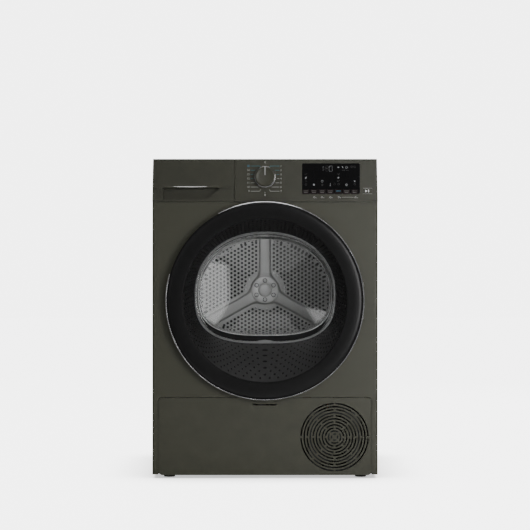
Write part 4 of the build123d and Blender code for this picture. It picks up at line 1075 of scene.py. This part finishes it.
class DRYER_OT_cabinet(bpy.types.Operator):
    """Finishes of the cabinet, base, drive and door fittings, with the drawer's bright lip"""
    bl_idname = "dryer.cabinet"
    bl_label = "Cabinet"

    def execute(self, context):
        cabinet = context.scene.dryer_cabinet
        dress("front_panel left_side_panel right_side_panel",
              painted_sheet("satin paint", cabinet.paint, cabinet.roughness))
        dress("control_panel drawer_front", moulded_plastic("fascia plastic", cabinet.plastic, 0.40))
        dress("kick_panel kick_latch", moulded_plastic("kick plastic", cabinet.paint, 0.44))
        dress("start_button", moulded_plastic("key plastic", cabinet.plastic, 0.36))
        dress("top_panel", painted_sheet("worktop laminate", cabinet.paint, 0.38))
        dress("display_window", gloss_black("display black", (0.0062, 0.0062, 0.0066), 0.06, 0.25))
        # The back panel carries painted shade round the drum's axis, behind the drum's holes.
        dress("back_panel", galvanised_sheet("galvanised sheet", 0.206))
        dress("base_pan cooling_fan_frame cooling_fan door_inner_frame door_lock door_catch terminal_cover "
              "rear_duct_cover", soft_black("moulded black", (0.020, 0.020, 0.021), 0.5))
        dress("door_seal drum_belt levelling_feet", soft_black("rubber black", (0.022, 0.022, 0.022), 0.72))
        dress("compressor motor_body drum_bearing", painted_sheet("machine black", (0.016, 0.016, 0.017), 0.38))
        dress("front_bulkhead lint_filter fan_housing fan_impeller left_support_roller right_support_roller tank_tray "
              "exchanger_cover", moulded_plastic("inner grey plastic", (0.23, 0.235, 0.235), 0.46))
        dress("water_tank", moulded_plastic("tank plastic", (0.62, 0.63, 0.62), 0.38))
        dress("left_lock_lever right_lock_lever drain_spigot condensate_pump",
              moulded_plastic("white plastic", (0.60, 0.60, 0.58), 0.42))
        dress("drum_shaft hinge_bracket hinge_pin hinge_leaf motor_shaft",
              metal("machined steel", (0.46, 0.46, 0.46), 0.32, (1, 1, 0.05)))
        dress("evaporator condenser", metal("fin aluminium", (0.70, 0.71, 0.72), 0.36, (1, 0.05, 0.05)))
        dress("refrigerant_pipes", metal("tarnished copper pipe", (0.20, 0.10, 0.07), 0.5))
        dress("drum_seals", felt_pad("grey felt"))
        dress("display_board", gloss_black("circuit board", (0.012, 0.075, 0.035), 0.35))
        self.drawer_lip()
        return {"FINISHED"}

    @staticmethod
    def drawer_lip():
        """Bright strip under the drawer's upper panel, thinned at both ends."""
        left, right, z, segments = -0.2655, -0.1303, 0.7706, 64
        deep, tall, thinned = 0.0026, 0.0020, 0.03
        rings = []
        for share in (step / segments for step in range(segments + 1)):
            fade = min(1.0, 0.3 + share / thinned, 0.3 + (1 - share) / thinned) * (0.72 + 0.28 * sin(pi * share))
            rings.append([(left + (right - left) * share, FASCIA_Y + 0.0008 + deep * fade * cos(turn),
                           z + tall * fade * sin(turn)) for turn in turns(16)])
        place_piece("drawer_lip_bright", lofted("drawer_lip_bright", rings),
                    metal("lip chrome", (0.66, 0.66, 0.66), 0.22), "water_drawer")


class DRYER_OT_fasteners(bpy.types.Operator):
    """Screws of the back panel, duct cover and terminal cover"""
    bl_idname = "dryer.fasteners"
    bl_label = "Fasteners"

    def execute(self, context):
        low, high = corners_of(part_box("back_panel"))
        zinc = metal("zinc screw", (0.52, 0.52, 0.50), 0.34)
        rim, side, end, duct_radius = high.y, 0.011, 0.010, 0.240
        places = [(x, rim, z) for x in (low.x + side, high.x - side)
                  for z in np.linspace(low.z + 0.03, high.z - 0.03, 7)]
        places += [(x, rim, z) for z in (low.z + end, high.z - end) for x in np.linspace(-0.21, 0.21, 4)]
        places += [turned([(duct_radius, rim)], t, DRUM_Z)[0] for t in np.radians((20, 60, 100, 140, 180, 220))]
        places += [(x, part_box("terminal_cover")[1][1], z) for x, z in ((-0.255, 0.722), (-0.189, 0.783))]
        mesh = scattered("back_screws", places, screw_head(0.0046, 0.0030, 1), zinc)
        place_piece("back_screws", mesh, None, "cabinet")
        return {"FINISHED"}


def look_at(thing, place, target):
    """Put a light or camera at a place, facing a target."""
    thing.location = place
    thing.rotation_euler = (Vector(target) - Vector(place)).to_track_quat("-Z", "Y").to_euler()


def area_light(name, place, target, width, height, power, spread=180.0, unseen=()):
    """Rectangular softbox, with a grid in front of it where its spread is narrow, unseen by some kinds of ray."""
    data = bpy.data.lights.new(name, "AREA")
    data.shape, data.size, data.size_y, data.energy = "RECTANGLE", width, height, power
    data.spread = radians(spread)
    light = bpy.data.objects.new(name, data)
    bpy.context.scene.collection.objects.link(light)
    look_at(light, place, target)
    for ray in ("camera", *unseen):
        setattr(light, "visible_" + ray, False)


class DRYER_OT_stage(bpy.types.Operator):
    """Camera at the viewing angle, pale floor and soft studio light"""
    bl_idname = "dryer.stage"
    bl_label = "Stage"

    @staticmethod
    def floor(context):
        """White floor with a soft contact shadow."""
        size = 14.0
        corners = [(-size, -size, 0), (size, -size, 0), (size, size, 0), (-size, size, 0)]
        floor = bpy.data.objects.new("floor", mesh_of("floor", corners, [(0, 1, 2, 3)]))
        context.scene.collection.objects.link(floor)
        material, tree, shader = base_finish("pale floor", (0.86, 0.86, 0.86), 0.7)
        shade = add_node(tree, "AmbientOcclusion", Distance=0.16)
        add_ramp(tree, shade.outputs["AO"], grey(0.16), grey(1.0), shader.inputs["Emission Color"], 0.25, 0.97)
        input_of(shader, "Emission Strength", context.scene.dryer_stage.backdrop)
        floor.data.materials.append(material)
        for ray in ("diffuse", "glossy", "transmission", "shadow"):
            setattr(floor, "visible_" + ray, False)

    @staticmethod
    def studio(context):
        """White backdrop that lights the object only faintly."""
        stage = context.scene.dryer_stage
        world = bpy.data.worlds.new("studio")
        world.use_nodes = True
        tree = world.node_tree
        sky = tree.nodes["Background"]
        input_of(sky, "Color", grey(1.0))
        strength = add_node(tree, "MapRange", Value=add_node(tree, "LightPath").outputs["Is Camera Ray"])
        input_of(strength, "To Min", stage.room)
        input_of(strength, "To Max", stage.backdrop)
        tree.links.new(strength.outputs["Result"], sky.inputs["Strength"])
        context.scene.world = world

    def execute(self, context):
        stage = context.scene.dryer_stage
        camera_data = bpy.data.cameras.new("camera")
        camera_data.lens, camera_data.sensor_width = stage.lens, 36.0
        camera_data.clip_end = 60.0
        camera = bpy.data.objects.new("camera", camera_data)
        context.scene.collection.objects.link(camera)
        distance = stage.view_width * stage.lens / camera_data.sensor_width
        eye = Vector((0.0, FRONT_Y - distance, stage.eye_height))
        look_at(camera, eye, eye + Vector((0, 1, 0)))
        context.scene.camera = camera
        self.floor(context)
        self.studio(context)
        key, below = stage.key_power, ("transmission", "diffuse")
        area_light("key", (1.3, -2.85, 0.66), (0.37, -0.28, 0.36), 0.9, 1.4, key * 0.122, 62.0)
        area_light("fill", (-1.7, -3.0, 1.2), (0.0, -0.2, 0.45), 1.0, 1.5, key * 0.105)
        area_light("top", (0.0, -0.7, 2.6), (0.0, -0.1, 0.6), 1.5, 1.1, key * 0.34, unseen=("transmission",))
        area_light("right panel", (0.95, eye.y, 1.45), (0.95, 0.0, 1.45), 0.64, 3.6, key * 0.38)
        area_light("left strip", (-0.86, eye.y, 2.4), (-0.86, 0.0, 2.4), 0.33, 3.2, key * 0.14)
        area_light("overhead", (0.02, eye.y, 1.95), (0.02, 0.0, 1.95), 0.45, 1.0, key * 0.018)
        area_light("near floor", (0.0, -1.0, -0.01), (0.0, -1.0, 1.0), 1.4, 0.9, key * 0.075, unseen=below)
        area_light("floor glow", (0.0, -2.7, -0.01), (0.0, -2.7, 1.0), 0.6, 2.4, key * 0.06, unseen=below)
        area_light("back light", (1.2, 2.6, 1.8), (0.0, 0.3, 0.45), 1.6, 1.6, key * 0.5)
        area_light("drum light", (-0.07, DRUM_LOW.y + 0.04, DRUM_Z + 0.2), (0.02, DRUM_HIGH.y, DRUM_Z), 0.22, 0.08,
                   stage.drum_power, unseen=("transmission",))
        return {"FINISHED"}


class DRYER_PT_panel(bpy.types.Panel):
    """Sidebar list of the dryer's pieces and settings"""
    bl_idname = "DRYER_PT_panel"
    bl_label = "Clothes dryer"
    bl_space_type = "VIEW_3D"
    bl_region_type = "UI"
    bl_category = "Dryer"

    def draw(self, context):
        for operator in OPERATORS:
            self.layout.operator(operator.bl_idname)
        for group, name in SETTINGS:
            box = self.layout.box()
            box.label(text=group.__doc__)
            for prop in group.__annotations__:
                box.prop(getattr(context.scene, name), prop)


SETTINGS = ((DryerCabinet, "dryer_cabinet"), (DryerDoor, "dryer_door"), (DryerDrum, "dryer_drum"),
            (DryerPrint, "dryer_print"), (DryerStage, "dryer_stage"))
OPERATORS = (DRYER_OT_cabinet, DRYER_OT_door, DRYER_OT_drum, DRYER_OT_knob, DRYER_OT_print, DRYER_OT_display,
             DRYER_OT_fasteners, DRYER_OT_stage)


def register():
    """Make the settings, operators and panel known."""
    for group, name in SETTINGS:
        bpy.utils.register_class(group)
        setattr(bpy.types.Scene, name, PointerProperty(type=group))
    for operator in (*OPERATORS, DRYER_PT_panel):
        bpy.utils.register_class(operator)


def unregister():
    """Take them away again."""
    for operator in reversed((*OPERATORS, DRYER_PT_panel)):
        bpy.utils.unregister_class(operator)
    for group, name in reversed(SETTINGS):
        delattr(bpy.types.Scene, name)
        bpy.utils.unregister_class(group)


def main():
    """Build every piece in order."""
    register()
    for operator in OPERATORS:
        group, name = operator.bl_idname.split(".")
        getattr(getattr(bpy.ops, group), name)()


if __name__ == "__main__":
    main()
